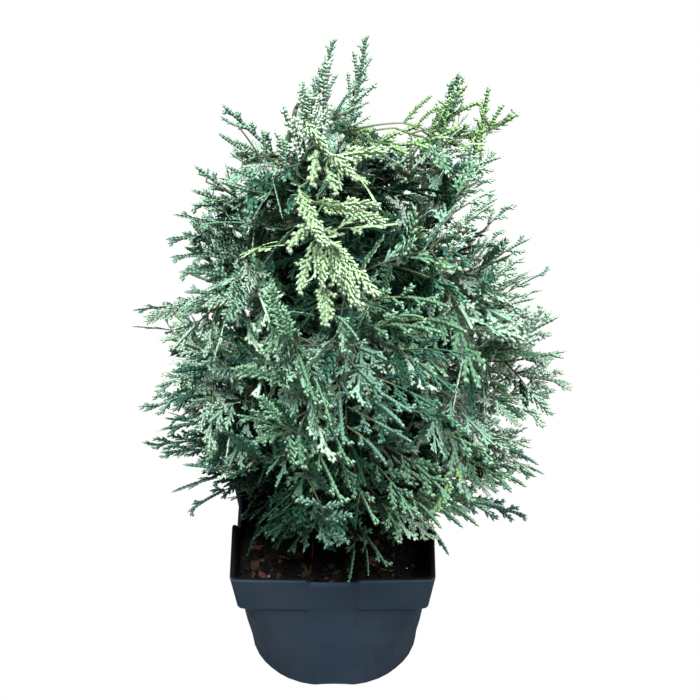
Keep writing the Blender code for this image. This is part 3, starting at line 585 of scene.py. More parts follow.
def grow_chain(leaves, start, heading, rise, length, width, turn, kinds=(BODY, EDGE)):
    """Leaves end to end along a line that turns a little. Returns where each one starts."""
    count = max(1, round(length / LEAF_LENGTH))
    step = length / count
    point = Vector(start)
    joints = []
    for index in range(count):
        last = index == count - 1
        joints.append((point.copy(), heading))
        size = step * BLUNT if last else step
        leaves.append((*point, heading, rise, size, width * (BLUNT_WIDTH if last else 1.0),
                       kinds[last], last))
        point += Vector((math.cos(heading) * step, math.sin(heading) * step, rise * step))
        heading += turn / count
    joints.append((point.copy(), heading))
    return joints


def joint_at(joints, share):
    """The point and heading at a share of a chain."""
    spot = share * (len(joints) - 1)
    index = min(int(spot), len(joints) - 2)
    point, heading = joints[index]
    return point.lerp(joints[index + 1][0], spot - index), heading


chain = []
grow_chain(chain, (0.0, 0.0, 0.0), 0.0, 0.0, 20.0, LEAF_WIDTH, 0.0)
print("a twig of 20 mm has", len(chain), "leaves")

# %% Lobes and plumes
BRANCH_GAP = 1.6
BRANCH_SHARE = 0.26
BRANCH_ANGLES = (42.0, 32.0)
LEAST_BRANCH = 2.0
MOST_BRANCH = 6.4
TWIG_TILT = 0.05
LOBE_GAP = 1.6
LOBE_ANGLE = 40.0
LOBE_LENGTH = 2.0
LOBED_BRANCH = 4.4
BRANCH_TURN = 0.2
BRANCH_MORE = 4.0
BRANCH_SPACING = (0.9, 1.1)
PLUME_SWAY = 0.5
BRANCH_LESS = 0.6
BRANCH_SPREAD = (0.7, 1.2)
LOBE_SPREAD = (0.85, 1.15)
LOBE_THIN = 0.9
LOBE_FIRST, LOBE_LAST = 1.2, 0.8
BRANCH_FIRST, BRANCH_LAST = 1.4, 1.0
YOUNG_OUTER = 0.4


def grow_lobes(rng, leaves, twig, size, rise):
    """Single leaves that stand out of a branchlet."""
    hand = rng.choice((-1.0, 1.0))
    place = LOBE_FIRST * LOBE_GAP
    while place < size - LOBE_LAST:
        point, along = joint_at(twig, place / size)
        grow_chain(leaves, point, along + hand * math.radians(LOBE_ANGLE), rise,
                   LOBE_LENGTH * rng.uniform(*LOBE_SPREAD), LOBE_THIN * LEAF_WIDTH, 0.0,
                   (EDGE, EDGE))
        hand = -hand
        place += LOBE_GAP


def grow_plume(rng, leaves, start, heading, rise, size, turn, young, lobes, gap=BRANCH_GAP,
               reach=BRANCH_SHARE):
    """One plume: a line of leaves with short branchlets left and right by turns."""
    line = grow_chain(leaves, start, heading, rise, size, LEAF_WIDTH, turn, (BODY, TIP))
    hand = rng.choice((-1.0, 1.0))
    place = BRANCH_FIRST * gap
    while place < size - BRANCH_LAST:
        share = place / size
        point, along = joint_at(line, share)
        branch = min(MOST_BRANCH, reach * (size + BRANCH_MORE) * (1.0 - BRANCH_LESS * share))
        branch *= rng.uniform(*BRANCH_SPREAD)
        end = TIP if young and share > YOUNG_OUTER else EDGE
        if branch > LEAST_BRANCH:
            angle = math.radians(BRANCH_ANGLES[0] + (BRANCH_ANGLES[1] - BRANCH_ANGLES[0]) * share)
            tilt = rise + rng.uniform(-TWIG_TILT, TWIG_TILT)
            twig = grow_chain(leaves, point, along + hand * angle, tilt, branch, LEAF_WIDTH,
                              -hand * BRANCH_TURN, (BODY, end))
            if lobes and branch > LOBED_BRANCH:
                grow_lobes(rng, leaves, twig, branch, tilt)
        elif lobes:
            grow_chain(leaves, point, along + hand * math.radians(LOBE_ANGLE), rise, LOBE_LENGTH,
                       LEAF_WIDTH, 0.0, (end, end))
        hand = -hand
        place += gap * rng.uniform(*BRANCH_SPACING)


def lone_plume(rng, length, gap=BRANCH_GAP, reach=BRANCH_SHARE):
    """A plume by itself."""
    leaves = []
    turn = rng.uniform(-PLUME_SWAY, PLUME_SWAY)
    grow_plume(rng, leaves, (0.0, 0.0, 0.0), 0.0, 0.0, length, turn, True, True, gap, reach)
    return np.array(leaves)


print("a plume of 30 mm has", len(lone_plume(random.Random(0), 30.0)), "leaves")

# %% Fronds
PLUME_GAP = 4.8
PLUME_ANGLES = (46.0, 30.0)
PLUME_TURN = 0.35
PLUME_MISSING = 0.06
OUT_OF_PLANE = 0.12
YOUNG_SHARE = 0.62
BARE_AXIS = 0.45
AXIS_WIDTH = 1.2
MOST_HALF = 28.0
FROND_SWAY = 0.3
FROND_ROOT = 0.5
WIDEST_AT = 0.25
TIP_LOSS = 0.74
PLUME_SIZES = (0.7, 1.15)
PLUME_TURNS = (0.2, 1.4)
PLUME_WANDER = 0.14
PLUME_SPACING = (0.8, 1.2)
PLUME_FIRST, PLUME_LAST = 0.7, 2.0


def frond_width(share):
    """The outline of a frond: soon wide, and narrowing to its tip."""
    swell = min(1.0, FROND_ROOT + share / WIDEST_AT * FROND_ROOT)
    return swell * (1.0 - TIP_LOSS * max(0.0, share - WIDEST_AT) / (1.0 - WIDEST_AT))


def grow_frond(rng, length, half, gap=PLUME_GAP, lobes=True):
    """One flat frond: plumes left and right by turns, shorter towards its tip."""
    leaves = []
    half = min(half, MOST_HALF)
    bare = BARE_AXIS * length
    sway = rng.uniform(-FROND_SWAY, FROND_SWAY)
    main = grow_chain(leaves, (0.0, 0.0, 0.0), 0.0, 0.0, bare, AXIS_WIDTH, sway * BARE_AXIS,
                      (AXIS, AXIS))
    point, heading = main[-1]
    main = main[:-1] + grow_chain(leaves, point, heading, 0.0, length - bare, LEAF_WIDTH,
                                  sway * (1.0 - BARE_AXIS), (BODY, TIP))
    hand = rng.choice((-1.0, 1.0))
    place = PLUME_FIRST * gap
    while place < length - PLUME_LAST:
        share = place / length
        point, heading = joint_at(main, share)
        size = half * frond_width(share) * rng.uniform(*PLUME_SIZES)
        if size > LEAST_BRANCH and rng.random() > PLUME_MISSING:
            angle = math.radians(PLUME_ANGLES[0] + (PLUME_ANGLES[1] - PLUME_ANGLES[0]) * share)
            rise = rng.uniform(-OUT_OF_PLANE, OUT_OF_PLANE)
            aim = heading + hand * (angle + rng.uniform(-PLUME_WANDER, PLUME_WANDER))
            turn = -hand * PLUME_TURN * rng.uniform(*PLUME_TURNS)
            grow_plume(rng, leaves, point, aim, rise, size, turn, share > YOUNG_SHARE, lobes)
        hand = -hand
        place += gap * rng.uniform(*PLUME_SPACING)
    return np.array(leaves)


print("a frond of 60 mm has", len(grow_frond(random.Random(0), 60.0, 26.0)), "leaves")

# %% From leaves to points


def pattern_points(leaves):
    """The points of all leaves of a pattern, in its flat frame: along, across and up."""
    heading, rise, step, width = leaves[:, 3], leaves[:, 4], leaves[:, 5], leaves[:, 6]
    flat = 1.0 / np.sqrt(1.0 + rise ** 2)
    along = np.stack((np.cos(heading) * flat, np.sin(heading) * flat, rise * flat), axis=1)
    across = np.stack((-np.sin(heading), np.cos(heading), np.zeros_like(heading)), axis=1)
    up = np.cross(along, across)
    size = np.stack((step, width, np.full_like(step, LEAF_THICK)), axis=1)
    form = np.where(leaves[:, 8, None, None] > 0.5, lobe_points[None, :, :],
                    leaf_points[None, :, :])
    scaled = form * size[:, None, :]
    turned = (scaled[:, :, :1] * along[:, None, :] + scaled[:, :, 1:2] * across[:, None, :]
              + scaled[:, :, 2:] * up[:, None, :])
    return turned + leaves[:, None, :3]


def straightened(leaves):
    """The leaves turned so that the furthest lies straight ahead."""
    far = leaves[np.argmax(leaves[:, 0])]
    turn = -math.atan2(far[1], far[0])
    x, y = leaves[:, 0].copy(), leaves[:, 1].copy()
    leaves[:, 0] = x * math.cos(turn) - y * math.sin(turn)
    leaves[:, 1] = x * math.sin(turn) + y * math.cos(turn)
    leaves[:, 3] += turn
    return leaves


def make_patterns(seed, lengths, count, grow):
    """A few patterns of one kind for each length."""
    rng = random.Random(seed)
    patterns = []
    for length in lengths:
        for _ in range(count):
            leaves = straightened(grow(rng, length))
            patterns.append({"length": float(leaves[:, 0].max()), "kinds": leaves[:, 7].astype(int),
                             "points": pattern_points(leaves)})
    return patterns


print("a plume of 30 mm has points", pattern_points(lone_plume(random.Random(0), 30.0)).shape)

# %% Kinds of pattern
FROND_LENGTHS = (24.0, 34.0, 46.0, 60.0, 78.0)
FROND_HALF = 0.44
SLIM_HALF = 0.27
TIP_LENGTHS = (14.0, 24.0, 36.0, 52.0)
TIP_GAP = 2.5
TIP_REACH = 0.14
PLUME_LENGTHS = (12.0, 18.0, 26.0, 34.0, 50.0)
INNER_LENGTH = 46.0
INNER_HALF = 18.0
INNER_GAP = 4.4
PATTERN_COUNT = 3
INNER_PATTERNS = 4
PATTERN_CHOICE = 3
FINER = {"tip": 1.35}


def frond_of(half):
    """A rule for fronds whose half width is a share of their length."""
    return lambda rng, length: grow_frond(rng, length, half * length)


def sparse_tip(rng, length):
    """A thin tip with few short branchlets."""
    return lone_plume(rng, length, TIP_GAP, TIP_REACH)


def inner_frond(rng, length):
    """A plain frond without lobes."""
    return grow_frond(rng, length, INNER_HALF, INNER_GAP, False)


PATTERNS = {
    "frond": make_patterns(1, FROND_LENGTHS, PATTERN_COUNT, frond_of(FROND_HALF)),
    "slim": make_patterns(2, FROND_LENGTHS, PATTERN_COUNT, frond_of(SLIM_HALF)),
    "tip": make_patterns(3, TIP_LENGTHS, PATTERN_COUNT, sparse_tip),
    "plume": make_patterns(4, PLUME_LENGTHS, PATTERN_COUNT, lone_plume),
    "inner": make_patterns(5, (INNER_LENGTH,), INNER_PATTERNS, inner_frond),
}


def pick_pattern(form, span, rng):
    """One of the patterns of a form that come nearest in length."""
    wanted = span * FINER.get(form, 1.0)
    near = sorted(PATTERNS[form], key=lambda pattern: abs(math.log(wanted / pattern["length"])))
    return rng.choice(near[:PATTERN_CHOICE])


for name, patterns in PATTERNS.items():
    print(name, [len(pattern["kinds"]) for pattern in patterns], "leaves")

# %% [markdown]
# ## Laying sprays
#
# Each spray is a line from where it leaves its twig to its tip, with a side direction that says
# how its plane lies. The pattern is bent along that line, and its wings droop a little from the
# midrib, as they do under their own weight.

# %% Laying
BEND_STEPS = 25
WING_DROOP = 0.012
sprays = []


def frame_along(start, tip, lift, side):
    """Points along a spray's line, with the directions along, across and up at each."""
    shares = np.linspace(0.0, 1.0, BEND_STEPS)
    begin = np.array(start)
    end = np.array(tip)
    control = 0.5 * (begin + end) + np.array((0.0, 0.0, lift))
    first = begin + (control - begin) * shares[:, None]
    second = control + (end - control) * shares[:, None]
    middle = first + (second - first) * shares[:, None]
    along = second - first
    along /= np.linalg.norm(along, axis=1)[:, None]
    across = np.array(side) - along * (along @ np.array(side))[:, None]
    across /= np.linalg.norm(across, axis=1)[:, None]
    up = np.cross(along, across)
    return shares, middle, along, across, up


def bend_pattern(pattern, start, tip, lift, side, wide):
    """A pattern's leaves, bent along a spray's line, in millimetres."""
    shares, middle, along, across, up = frame_along(start, tip, lift, side)
    span = float(np.linalg.norm(np.diff(middle, axis=0), axis=1).sum())
    scale = span / pattern["length"]
    points = pattern["points"].reshape(-1, 3) * scale
    points[:, 1] *= wide
    share = points[:, 0] / span
    inside = np.clip(share, 0.0, 1.0)

    def read(values):
        return np.stack([np.interp(inside, shares, values[:, axis]) for axis in range(3)], axis=1)

    past = (share - inside)[:, None] * span
    droop = points[:, 2] - WING_DROOP * points[:, 1] ** 2
    bent = (read(middle) + read(along) * past + read(across) * points[:, 1:2]
            + read(up) * droop[:, None])
    return bent.reshape(-1, len(leaf_points), 3)


def add_spray(mass, start, tip, lift, side, form, tone, wide=1.0):
    """Note one spray of a mass, to be made later."""
    sprays.append({"mass": mass, "start": Vector(start), "tip": Vector(tip), "lift": lift,
                   "side": Vector(side), "form": form, "tone": tone, "wide": wide})


print("patterns bend along", BEND_STEPS, "points")

# %% [markdown]
# ## Reading places off the photograph
#
# A place in the photograph is a line of sight. Where that line first meets the crown's outline is
# where a spray seen there can be. The other way round, a point of the plant can be looked up
# in the photograph, so that no spray stands where the photograph shows sky.

# %% Lines of sight
PHOTO_MIDDLE = 350.0
PHOTO_SCALE = 2.0 * PHOTO_MIDDLE * LENS_LENGTH / LENS_SENSOR
EYE = np.array(camera.location) / MM - np.array(POT_AXIS)
TO_RIGHT = np.array((1.0, 0.0, 0.0))
UPWARDS = np.array((0.0, math.sin(VIEW_RISE), math.cos(VIEW_RISE)))
LOOKING = np.array((0.0, math.cos(VIEW_RISE), -math.sin(VIEW_RISE)))


def photo_places(points):
    """Where points are seen in the photograph."""
    rise = np.asarray(points, dtype=float) - EYE
    depth = rise @ LOOKING
    return np.stack((PHOTO_MIDDLE + PHOTO_SCALE * (rise @ TO_RIGHT) / depth,
                     PHOTO_MIDDLE - PHOTO_SCALE * (rise @ UPWARDS) / depth), axis=1)


def sight_line(u, v):
    """The direction of the line of sight through a place of the photograph."""
    return (LOOKING + TO_RIGHT * (u - PHOTO_MIDDLE) / PHOTO_SCALE
            - UPWARDS * (v - PHOTO_MIDDLE) / PHOTO_SCALE)


print("the soil's middle is seen at", photo_places([(0.0, 0.0, SOIL_TOP)]).round()[0])

# %% Outline in the photograph
OUTLINE = (
    (240, 505), (215, 482), (190, 455), (165, 447), (158, 432), (172, 412), (150, 402), (172, 388),
    (162, 374), (183, 360), (163, 345), (150, 330), (150, 315), (190, 300), (188, 280), (180, 262),
    (184, 245), (182, 228), (202, 216), (200, 196), (206, 178), (232, 166), (236, 150), (246, 140),
    (262, 142), (276, 146), (287, 128), (298, 112), (306, 98), (318, 84), (327, 92), (331, 112),
    (346, 112), (351, 88), (360, 72), (366, 100), (364, 126), (395, 132), (420, 136), (440, 112),
    (452, 92), (463, 100), (478, 116), (490, 114), (502, 124), (488, 150), (484, 166), (484, 190),
    (480, 210), (498, 216), (500, 240), (514, 246), (508, 264), (528, 276), (508, 300), (528, 316),
    (544, 326), (542, 344), (554, 356), (544, 372), (557, 388), (540, 405), (530, 418), (508, 424),
    (518, 445), (524, 461), (508, 474), (504, 490), (480, 498), (488, 512), (440, 514), (436, 526),
    (436, 560), (390, 572), (345, 578), (300, 562), (250, 552), (240, 525),
)


def in_outline(points):
    """Whether points are seen inside the photograph's outline of the crown."""
    seen = photo_places(points)
    inside = np.zeros(len(seen), dtype=bool)
    for (x, y), (next_x, next_y) in zip(OUTLINE, OUTLINE[1:] + OUTLINE[:1]):
        level = (y > seen[:, 1]) != (next_y > seen[:, 1])
        cross = x + (seen[:, 1] - y) * (next_x - x) / ((next_y - y) or 1.0)
        inside ^= level & (seen[:, 0] < cross)
    return inside


print("the outline has", len(OUTLINE), "corners")

# %% Surface of the crown
SIGHT_SPAN = (520.0, 860.0)
SIGHT_STEPS = 400
SURFACE_ABOVE = 4.0
OUTSIDE_WEIGHT = 0.2


def crown_level(points):
    """How far out points are, as a share of the crown's reach there."""
    x = points[:, 0] - CROWN_X
    y = points[:, 1]
    z = points[:, 2]
    across = np.where(x > 0.0, np.interp(z, HEIGHTS, REACH_RIGHT),
                      np.interp(z, HEIGHTS, REACH_LEFT))
    along = np.where(y > 0.0, np.interp(z, HEIGHTS, REACH_BACK), np.interp(z, HEIGHTS, REACH_FRONT))
    return np.hypot(x / across, y / along)


def seen_at(u, v, inset):
    """The first point of the crown under a place of the photograph, drawn in by a share."""
    points = EYE + sight_line(u, v) * np.linspace(*SIGHT_SPAN, SIGHT_STEPS)[:, None]
    outside = (np.maximum(0.0, points[:, 2] - HEIGHTS[-1])
               + np.maximum(0.0, SOIL_TOP + SURFACE_ABOVE - points[:, 2]))
    level = crown_level(points) / inset + OUTSIDE_WEIGHT * outside
    first = np.argmax(level < 1.0) if (level < 1.0).any() else np.argmin(level)
    return Vector(points[first])


print("the middle of the photograph is at", [round(value) for value in seen_at(350, 350, 1.0)])

# %% [markdown]
# ## The rule of a mass
#
# A mass has a leading spray to its tip, side sprays left and right by turns, and a raised one, as
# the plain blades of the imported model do. Here the rule is carried on: more sprays stand between
# the first ones, on both sides of the twig, shorter towards its tip.

# %% Room of a spray
SHORTEST = 13.0
SHRINKS = (1.0, 0.9, 0.8, 0.7, 0.6, 0.5, 0.4)
CROWN_SLACK = 0.97
WING_SHARE = 0.24
CELL_OVERLAP = 9.0
RIM_HALF = 45.0
RIM_WIDE = 9.0
POT_HEIGHT = 79.8
ABOVE_POT = 3.0
CHECKED_SHARES = (0.4, 0.7, 0.9, 1.0)


def in_crown(points):
    """Whether points are inside the crown's outline and above the pot and soil."""
    over_rim = np.maximum(np.abs(points[:, 0]), np.abs(points[:, 1])) > RIM_HALF - RIM_WIDE
    low = np.where(over_rim, POT_HEIGHT + ABOVE_POT, SOIL_TOP + ABOVE_POT)
    return (crown_level(points) < CROWN_SLACK) & (points[:, 2] > low) & (points[:, 2] < HEIGHTS[-1])


def fitted_tip(mass, start, tip, lift, side):
    """The tip, drawn in until the spray stays in the crown, in its own space and off the sky."""
    wing = side.normalized() * WING_SHARE * (tip - start).length
    for shrink in SHRINKS:
        if (tip - start).length * shrink < SHORTEST:
            return None, 0.0
        end = start.lerp(tip, shrink)
        line = [arch(start, end, lift * shrink, share) for share in CHECKED_SHARES]
        wings = [line[0] + wing * shrink, line[0] - wing * shrink]
        if (in_crown(np.array(line)).all() and in_outline(np.array(line + wings)).all()
                and in_cell(np.array(line), mass, masses, -CELL_OVERLAP).all()):
            return end, lift * shrink
    return None, 0.0


print("a spray is at least", SHORTEST, "mm long")

# %% First sprays of a mass
BLADE_STARTS = (0.36, 0.48)
LEAD_START = 0.34
RAISED_START = 0.5
BLADE_TURN = 40.0
BLADE_LEAN = 28.0
BLADE_ROLL = 35.0
MASS_ROLL = 40.0
MOST_TEETH = 4
BLADE_TURNS = (-10.0, 14.0)
BLADE_SIZES = (0.85, 1.0)
BLADE_FALL = -0.05
LEAST_FLAT = 0.3
LEAD_PAST = 0.02
BLADE_PAST = 0.3
RAISED_PAST = 0.1
RAISED_AIM = (0.85, 0.5)
RAISED_SIZE = 0.5
MOST_IN_LINE = 0.8
AHEAD = 0.05


def blade_plans(mass, rng):
    """The lines of the mass's first sprays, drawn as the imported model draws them."""
    root, tip, lift = mass["root"], mass["tip"], mass["lift"]
    length = (tip - root).length
    out = (tip - root).normalized()
    flat = UP.cross(out)
    if flat.length < LEAST_FLAT:
        flat = Vector((1.0, 0.0, 0.0))
    roll = math.radians(rng.uniform(-MASS_ROLL, MASS_ROLL))
    side = Matrix.Rotation(roll, 3, out) @ flat.normalized()
    mass["side"] = side
    plans = [{"share": max(LEAD_START, mass["enter"] + LEAD_PAST), "tip": tip}]
    plans[0]["lift"] = lift * (1.0 - plans[0]["share"]) ** 2
    hand = rng.choice((-1.0, 1.0))
    for wanted in BLADE_STARTS:
        share = max(wanted, mass["enter"] + BLADE_PAST * wanted)
        start = arch(root, tip, lift, share)
        along = (arch(root, tip, lift, share + AHEAD) - start).normalized()
        turn = math.radians(BLADE_TURN + rng.uniform(*BLADE_TURNS))
        lean = math.radians(rng.uniform(-BLADE_LEAN, BLADE_LEAN))
        plane = Matrix.Rotation(lean, 3, along) @ side
        aim = along * math.cos(turn) + plane * hand * math.sin(turn)
        size = length * (1.0 - share) * rng.uniform(*BLADE_SIZES)
        plans.append({"share": share, "tip": start + aim * size, "lift": BLADE_FALL * size})
        hand = -hand
    rise = out.cross(side).normalized()
    if rise.z < 0.0:
        rise = -rise
    share = max(RAISED_START, mass["enter"] + RAISED_PAST)
    start = arch(root, tip, lift, share)
    aim = (out * RAISED_AIM[0] + rise * RAISED_AIM[1]).normalized()
    plans.append({"share": share, "tip": start + aim * RAISED_SIZE * length, "lift": 0.0})
    for plan in plans:
        plan["start"] = arch(root, tip, lift, plan["share"])
        aim = (plan["tip"] - plan["start"]).normalized()
        for _ in range(2 * MOST_TEETH):
            rng.random()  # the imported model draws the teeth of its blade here
        roll = math.radians(rng.uniform(-BLADE_ROLL, BLADE_ROLL))
        hint = Matrix.Rotation(roll, 3, aim) @ side
        if abs(hint.dot(aim)) > MOST_IN_LINE:
            hint = aim.cross(side)
        plan["side"] = hint
    return plans


print("a mass begins with", len(BLADE_STARTS) + 2, "sprays")

# %% Further sprays of a mass
MORE_STARTS = (0.28, 0.52, 0.66, 0.80)
MORE_LEAN = 35.0
FALL_LEAN = 75.0
FACE_OUT = 0.55
FACE_UP = 0.8
MORE_PAST = 0.1
MORE_WANDER = 0.03
LAST_MORE = 0.88
MORE_TURNS = (24.0, 56.0)
MORE_SHARES = (0.75, 1.05)
MORE_SIZES = (26.0, 60.0)
MORE_SAG = 0.16
MORE_LIFTS = (0.02, 0.14)


def more_plans(mass, rng):
    """Further sprays of a mass, left and right by turns along its twig."""
    root, tip, lift = mass["root"], mass["tip"], mass["lift"]
    length = (tip - root).length
    most = FALL_LEAN if mass["name"].startswith("fall") else MORE_LEAN
    plans = []
    hand = rng.choice((-1.0, 1.0))
    for wanted in MORE_STARTS:
        share = max(wanted, mass["first"] + MORE_PAST)
        share += rng.uniform(-MORE_WANDER, MORE_WANDER)
        share = min(LAST_MORE, share)
        start = arch(root, tip, lift, share)
        along = (arch(root, tip, lift, share + AHEAD) - start).normalized()
        turn = math.radians(rng.uniform(*MORE_TURNS))
        lean = math.radians(rng.uniform(-most, most))
        plane = Matrix.Rotation(lean, 3, along) @ mass["side"]
        aim = along * math.cos(turn) + plane * hand * math.sin(turn)
        size = length * (1.0 - share) * rng.uniform(*MORE_SHARES)
        size = min(MORE_SIZES[1], max(MORE_SIZES[0], size))
        roll = math.radians(rng.uniform(-most, most))
        end = start + aim * size - Vector((0.0, 0.0, rng.uniform(0.0, MORE_SAG) * size))
        facing = Vector((start.x - CROWN_X, start.y, 0.0)).normalized() * FACE_OUT
        facing += Vector((0.0, 0.0, FACE_UP))
        plans.append({"start": start, "tip": end, "lift": rng.uniform(*MORE_LIFTS) * size,
                      "side": Matrix.Rotation(roll, 3, aim) @ facing.cross(aim).normalized(),
                      "share": share})
        hand = -hand
    return plans


print("and has up to", len(MORE_STARTS), "more")

# %% Plumes round a twig
DRESS_SHARES = (0.10, 0.20, 0.30, 0.42, 0.54, 0.66)
DRESS_WANDER = 0.03
DRESS_ANGLES = (28.0, 50.0)
DRESS_SPANS = (17.0, 30.0)
DRESS_LIFTS = (-1.0, 2.5)


def dress_plans(mass, rng):
    """Short plumes that stand round a mass's twig and hide it."""
    root, tip, lift = mass["root"], mass["tip"], mass["lift"]
    plans = []
    for wanted in DRESS_SHARES:
        share = wanted + rng.uniform(-DRESS_WANDER, DRESS_WANDER)
        if share < mass["first"] + DRESS_WANDER:
            continue
        start = arch(root, tip, lift, share)
        along = (arch(root, tip, lift, share + AHEAD) - start).normalized()
        across = Matrix.Rotation(rng.uniform(0.0, 2.0 * math.pi), 3, along) @ mass["side"]
        turn = math.radians(rng.uniform(*DRESS_ANGLES))
        aim = along * math.cos(turn) + across * math.sin(turn)
        plans.append({"start": start, "tip": start + aim * rng.uniform(*DRESS_SPANS),
                      "lift": rng.uniform(*DRESS_LIFTS), "side": along.cross(across)})
    return plans


print("up to", len(DRESS_SHARES), "plumes hide a twig")

# %% [markdown]
# ## Which colour stands where
#
# Painted light makes the crown palest on top and on the right and grey-green at its left edge, and
# painted shade makes it nearly black inside, low down and in front. The tones are dealt by weights
# for each part of the crown, so that neighbours differ a little, as real sprays do.

# %% Tones by place
# Weights of tones by part: random, with painted light on top and right, painted shade inside and low.
TONE_AND_PAINTED_LIGHT_WEIGHTS = {
    "top": {"silver": 4, "light": 5, "grey": 3, "fresh": 1},
    "high": {"light": 5, "grey": 4, "green": 2, "fresh": 2},
    "heart": {"grey": 2, "green": 1, "blue": 3, "deep": 5},
    "sun": {"light": 7, "grey": 4, "green": 2, "silver": 3, "fresh": 1},
    "rim": {"light": 6, "grey": 5, "silver": 2, "green": 1},
    "face": {"light": 1, "grey": 3, "blue": 3, "green": 4},
    "side": {"light": 1, "grey": 3, "blue": 4, "green": 1, "deep": 6},
    "front": {"grey": 1, "blue": 3, "green": 1, "deep": 9},
    "low": {"grey": 1, "blue": 4, "deep": 7, "green": 1, "steel": 1},
    "inside": {"blue": 1, "deep": 6},
}
# Each tone's darker neighbour, given as painted shade to plumes away from the light.
PAINTED_SHADE_TONE = {"silver": "light", "light": "grey", "grey": "blue", "green": "blue", "fresh": "green",
          "steel": "blue", "blue": "deep", "deep": "deep"}
print(len(TONE_AND_PAINTED_LIGHT_WEIGHTS), "parts of the crown")

# %% Tone and form of a spray
TOP_LEVEL = 240.0
HIGH_LEVEL = 178.0
LOW_LEVEL = 108.0
SUN_FROM = 20.0
SIDE_FROM = 42.0
INSIDE_UNDER = 0.45
RIM_OVER = 0.82
CROWN_HALF = (90.0, 72.0)
SLIM_MASSES = ("pale_shoot", "pale_shoot_low", "tip_right", "crown_right", "crown_side",
                "crown_front")
TIP_MASSES = ("tip_left", "tip_middle")
FORMS = ("frond", "frond", "slim")


def tone_with_painted_light(mass, place, rng):
    """A spray's colour, weighted by place: painted light on top and right, painted shade inside."""
    if mass["name"].startswith("pale"):
        return "pale"
    across = place.x - CROWN_X
    away = math.hypot(across / CROWN_HALF[0], place.y / CROWN_HALF[1])
    if place.z > TOP_LEVEL:
        part = "top"
    elif away < INSIDE_UNDER:
        part = "heart" if place.z > HIGH_LEVEL else "inside"
    elif across > SUN_FROM:
        part = "sun"
    elif place.z < LOW_LEVEL:
        part = "low"
    elif away > RIM_OVER:
        part = "rim" if -across > SIDE_FROM else "face"
    elif place.z > HIGH_LEVEL:
        part = "high"
    else:
        part = "side" if -across > SIDE_FROM else "front"
    weights = TONE_AND_PAINTED_LIGHT_WEIGHTS[part]
    return rng.choices(list(weights), list(weights.values()))[0]


def form_of(mass, rng):
    """Which kind of pattern a spray of a mass takes."""
    if mass["name"] in TIP_MASSES:
        return "tip"
    if mass["name"] in SLIM_MASSES:
        return "slim"
    return rng.choice(FORMS)


print("masses of their own form:", SLIM_MASSES + TIP_MASSES)

# %% Sprays of the masses
TWIG_PAST = 0.04
TONE_AT = 0.7


def is_pale(mass):
    """Whether a mass is one of the pale shoots."""
    return mass["name"].startswith("pale")


def deal_first(mass, plans, rng):
    """The sprays of a mass that find room."""
    for plan in plans:
        start = plan["start"]
        tip, lift = fitted_tip(mass, start, plan["tip"], plan["lift"], plan["side"])
        if tip is not None:
            mass["last"] = max(mass.get("last", 0.0), plan["share"] + TWIG_PAST)
            tone = tone_with_painted_light(mass, start.lerp(tip, TONE_AT), rng)
            add_spray(mass, start, tip, lift, plan["side"], form_of(mass, rng), tone)


def deal_plumes(mass, rng):
    """The plumes of a mass, a tone darker on the side away from the light, as painted shade."""
    for plan in dress_plans(mass, rng):
        if in_outline([plan["tip"]]).all():
            tone = tone_with_painted_light(mass, plan["tip"], rng)
            tone = PAINTED_SHADE_TONE[tone] if plan["tip"].x - CROWN_X < SUN_FROM else tone
            add_spray(mass, plan["start"], plan["tip"], plan["lift"], plan["side"], "plume", tone)


def deal_sprays(packed, more):
    """All sprays of the masses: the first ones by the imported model's draws, the rest by others."""
    for mass in masses:
        plans = blade_plans(mass, packed)
        if not is_pale(mass):
            plans += more_plans(mass, more)
        if mass["name"] not in TIP_MASSES:
            deal_first(mass, plans, more)
        if not is_pale(mass):
            deal_plumes(mass, more)


deal_sprays(packed_draws, random.Random(SEED + 1))
print(len(sprays), "sprays on the masses")

# %% Plumes round the limbs
DRESS_LOW = 84.0
DRESS_STEP = 4.0
DRESS_TURN = 137.5
DRESS_RISE = (0.7, 2.2)
DRESS_LEVELS = (84.0, 200.0, 250.0, 290.0)
DRESS_SIZES = (32.0, 28.0, 20.0, 12.0)
DRESS_SCALES = (0.75, 1.15)
DRESS_STEPS = (0.8, 1.2)
DRESS_ROLL = 0.8
DRESS_LIFT = 3.0


def near_mass(point):
    """The mass whose middle is nearest."""
    return min(masses, key=lambda mass: (mass["site"] - point).length)


def dress_limbs(rng):
    """Plumes all round the trunk and leaders."""
    bearing = 0.0
    for line in limbs:
        height = DRESS_LOW
        while height < line[-1][2]:
            spot = limb_at(line, height)
            bearing += math.radians(DRESS_TURN)
            if spot:
                spot = Vector(spot[:3])
                rise = rng.uniform(*DRESS_RISE)
                aim = Vector((math.cos(bearing), math.sin(bearing), rise)).normalized()
                size = blend(height, DRESS_LEVELS, DRESS_SIZES)
                tip = spot + aim * size * rng.uniform(*DRESS_SCALES)
                across = UP.cross(aim).normalized()
                side = Matrix.Rotation(rng.uniform(-DRESS_ROLL, DRESS_ROLL), 3, aim) @ across
                near = near_mass(tip)
                if in_outline([tip]).all():
                    tone = tone_with_painted_light(near, tip, rng)
                    add_spray(near, spot, tip, DRESS_LIFT, side, "plume", tone)
            height += DRESS_STEP * rng.uniform(*DRESS_STEPS)


dress_limbs(random.Random(SEED + 4))
print(len(sprays), "sprays on the masses and limbs")

# %% [markdown]
# ## Sprays that the photograph shows singly
#
# Some sprays catch the eye: the two thin tips on top, the pale bent shoots, the light fans on the
# left, the long sprays that fall over the front, and the open fans whose ends make the outline.
# Each is laid where the photograph shows it: its start and tip are read there and put on the
# crown's own outline, its plane is turned by an angle out of the line of sight, and a fine twig
# ties it to the nearest twig or limb, so that it also grows from the plant when seen from the
# side.

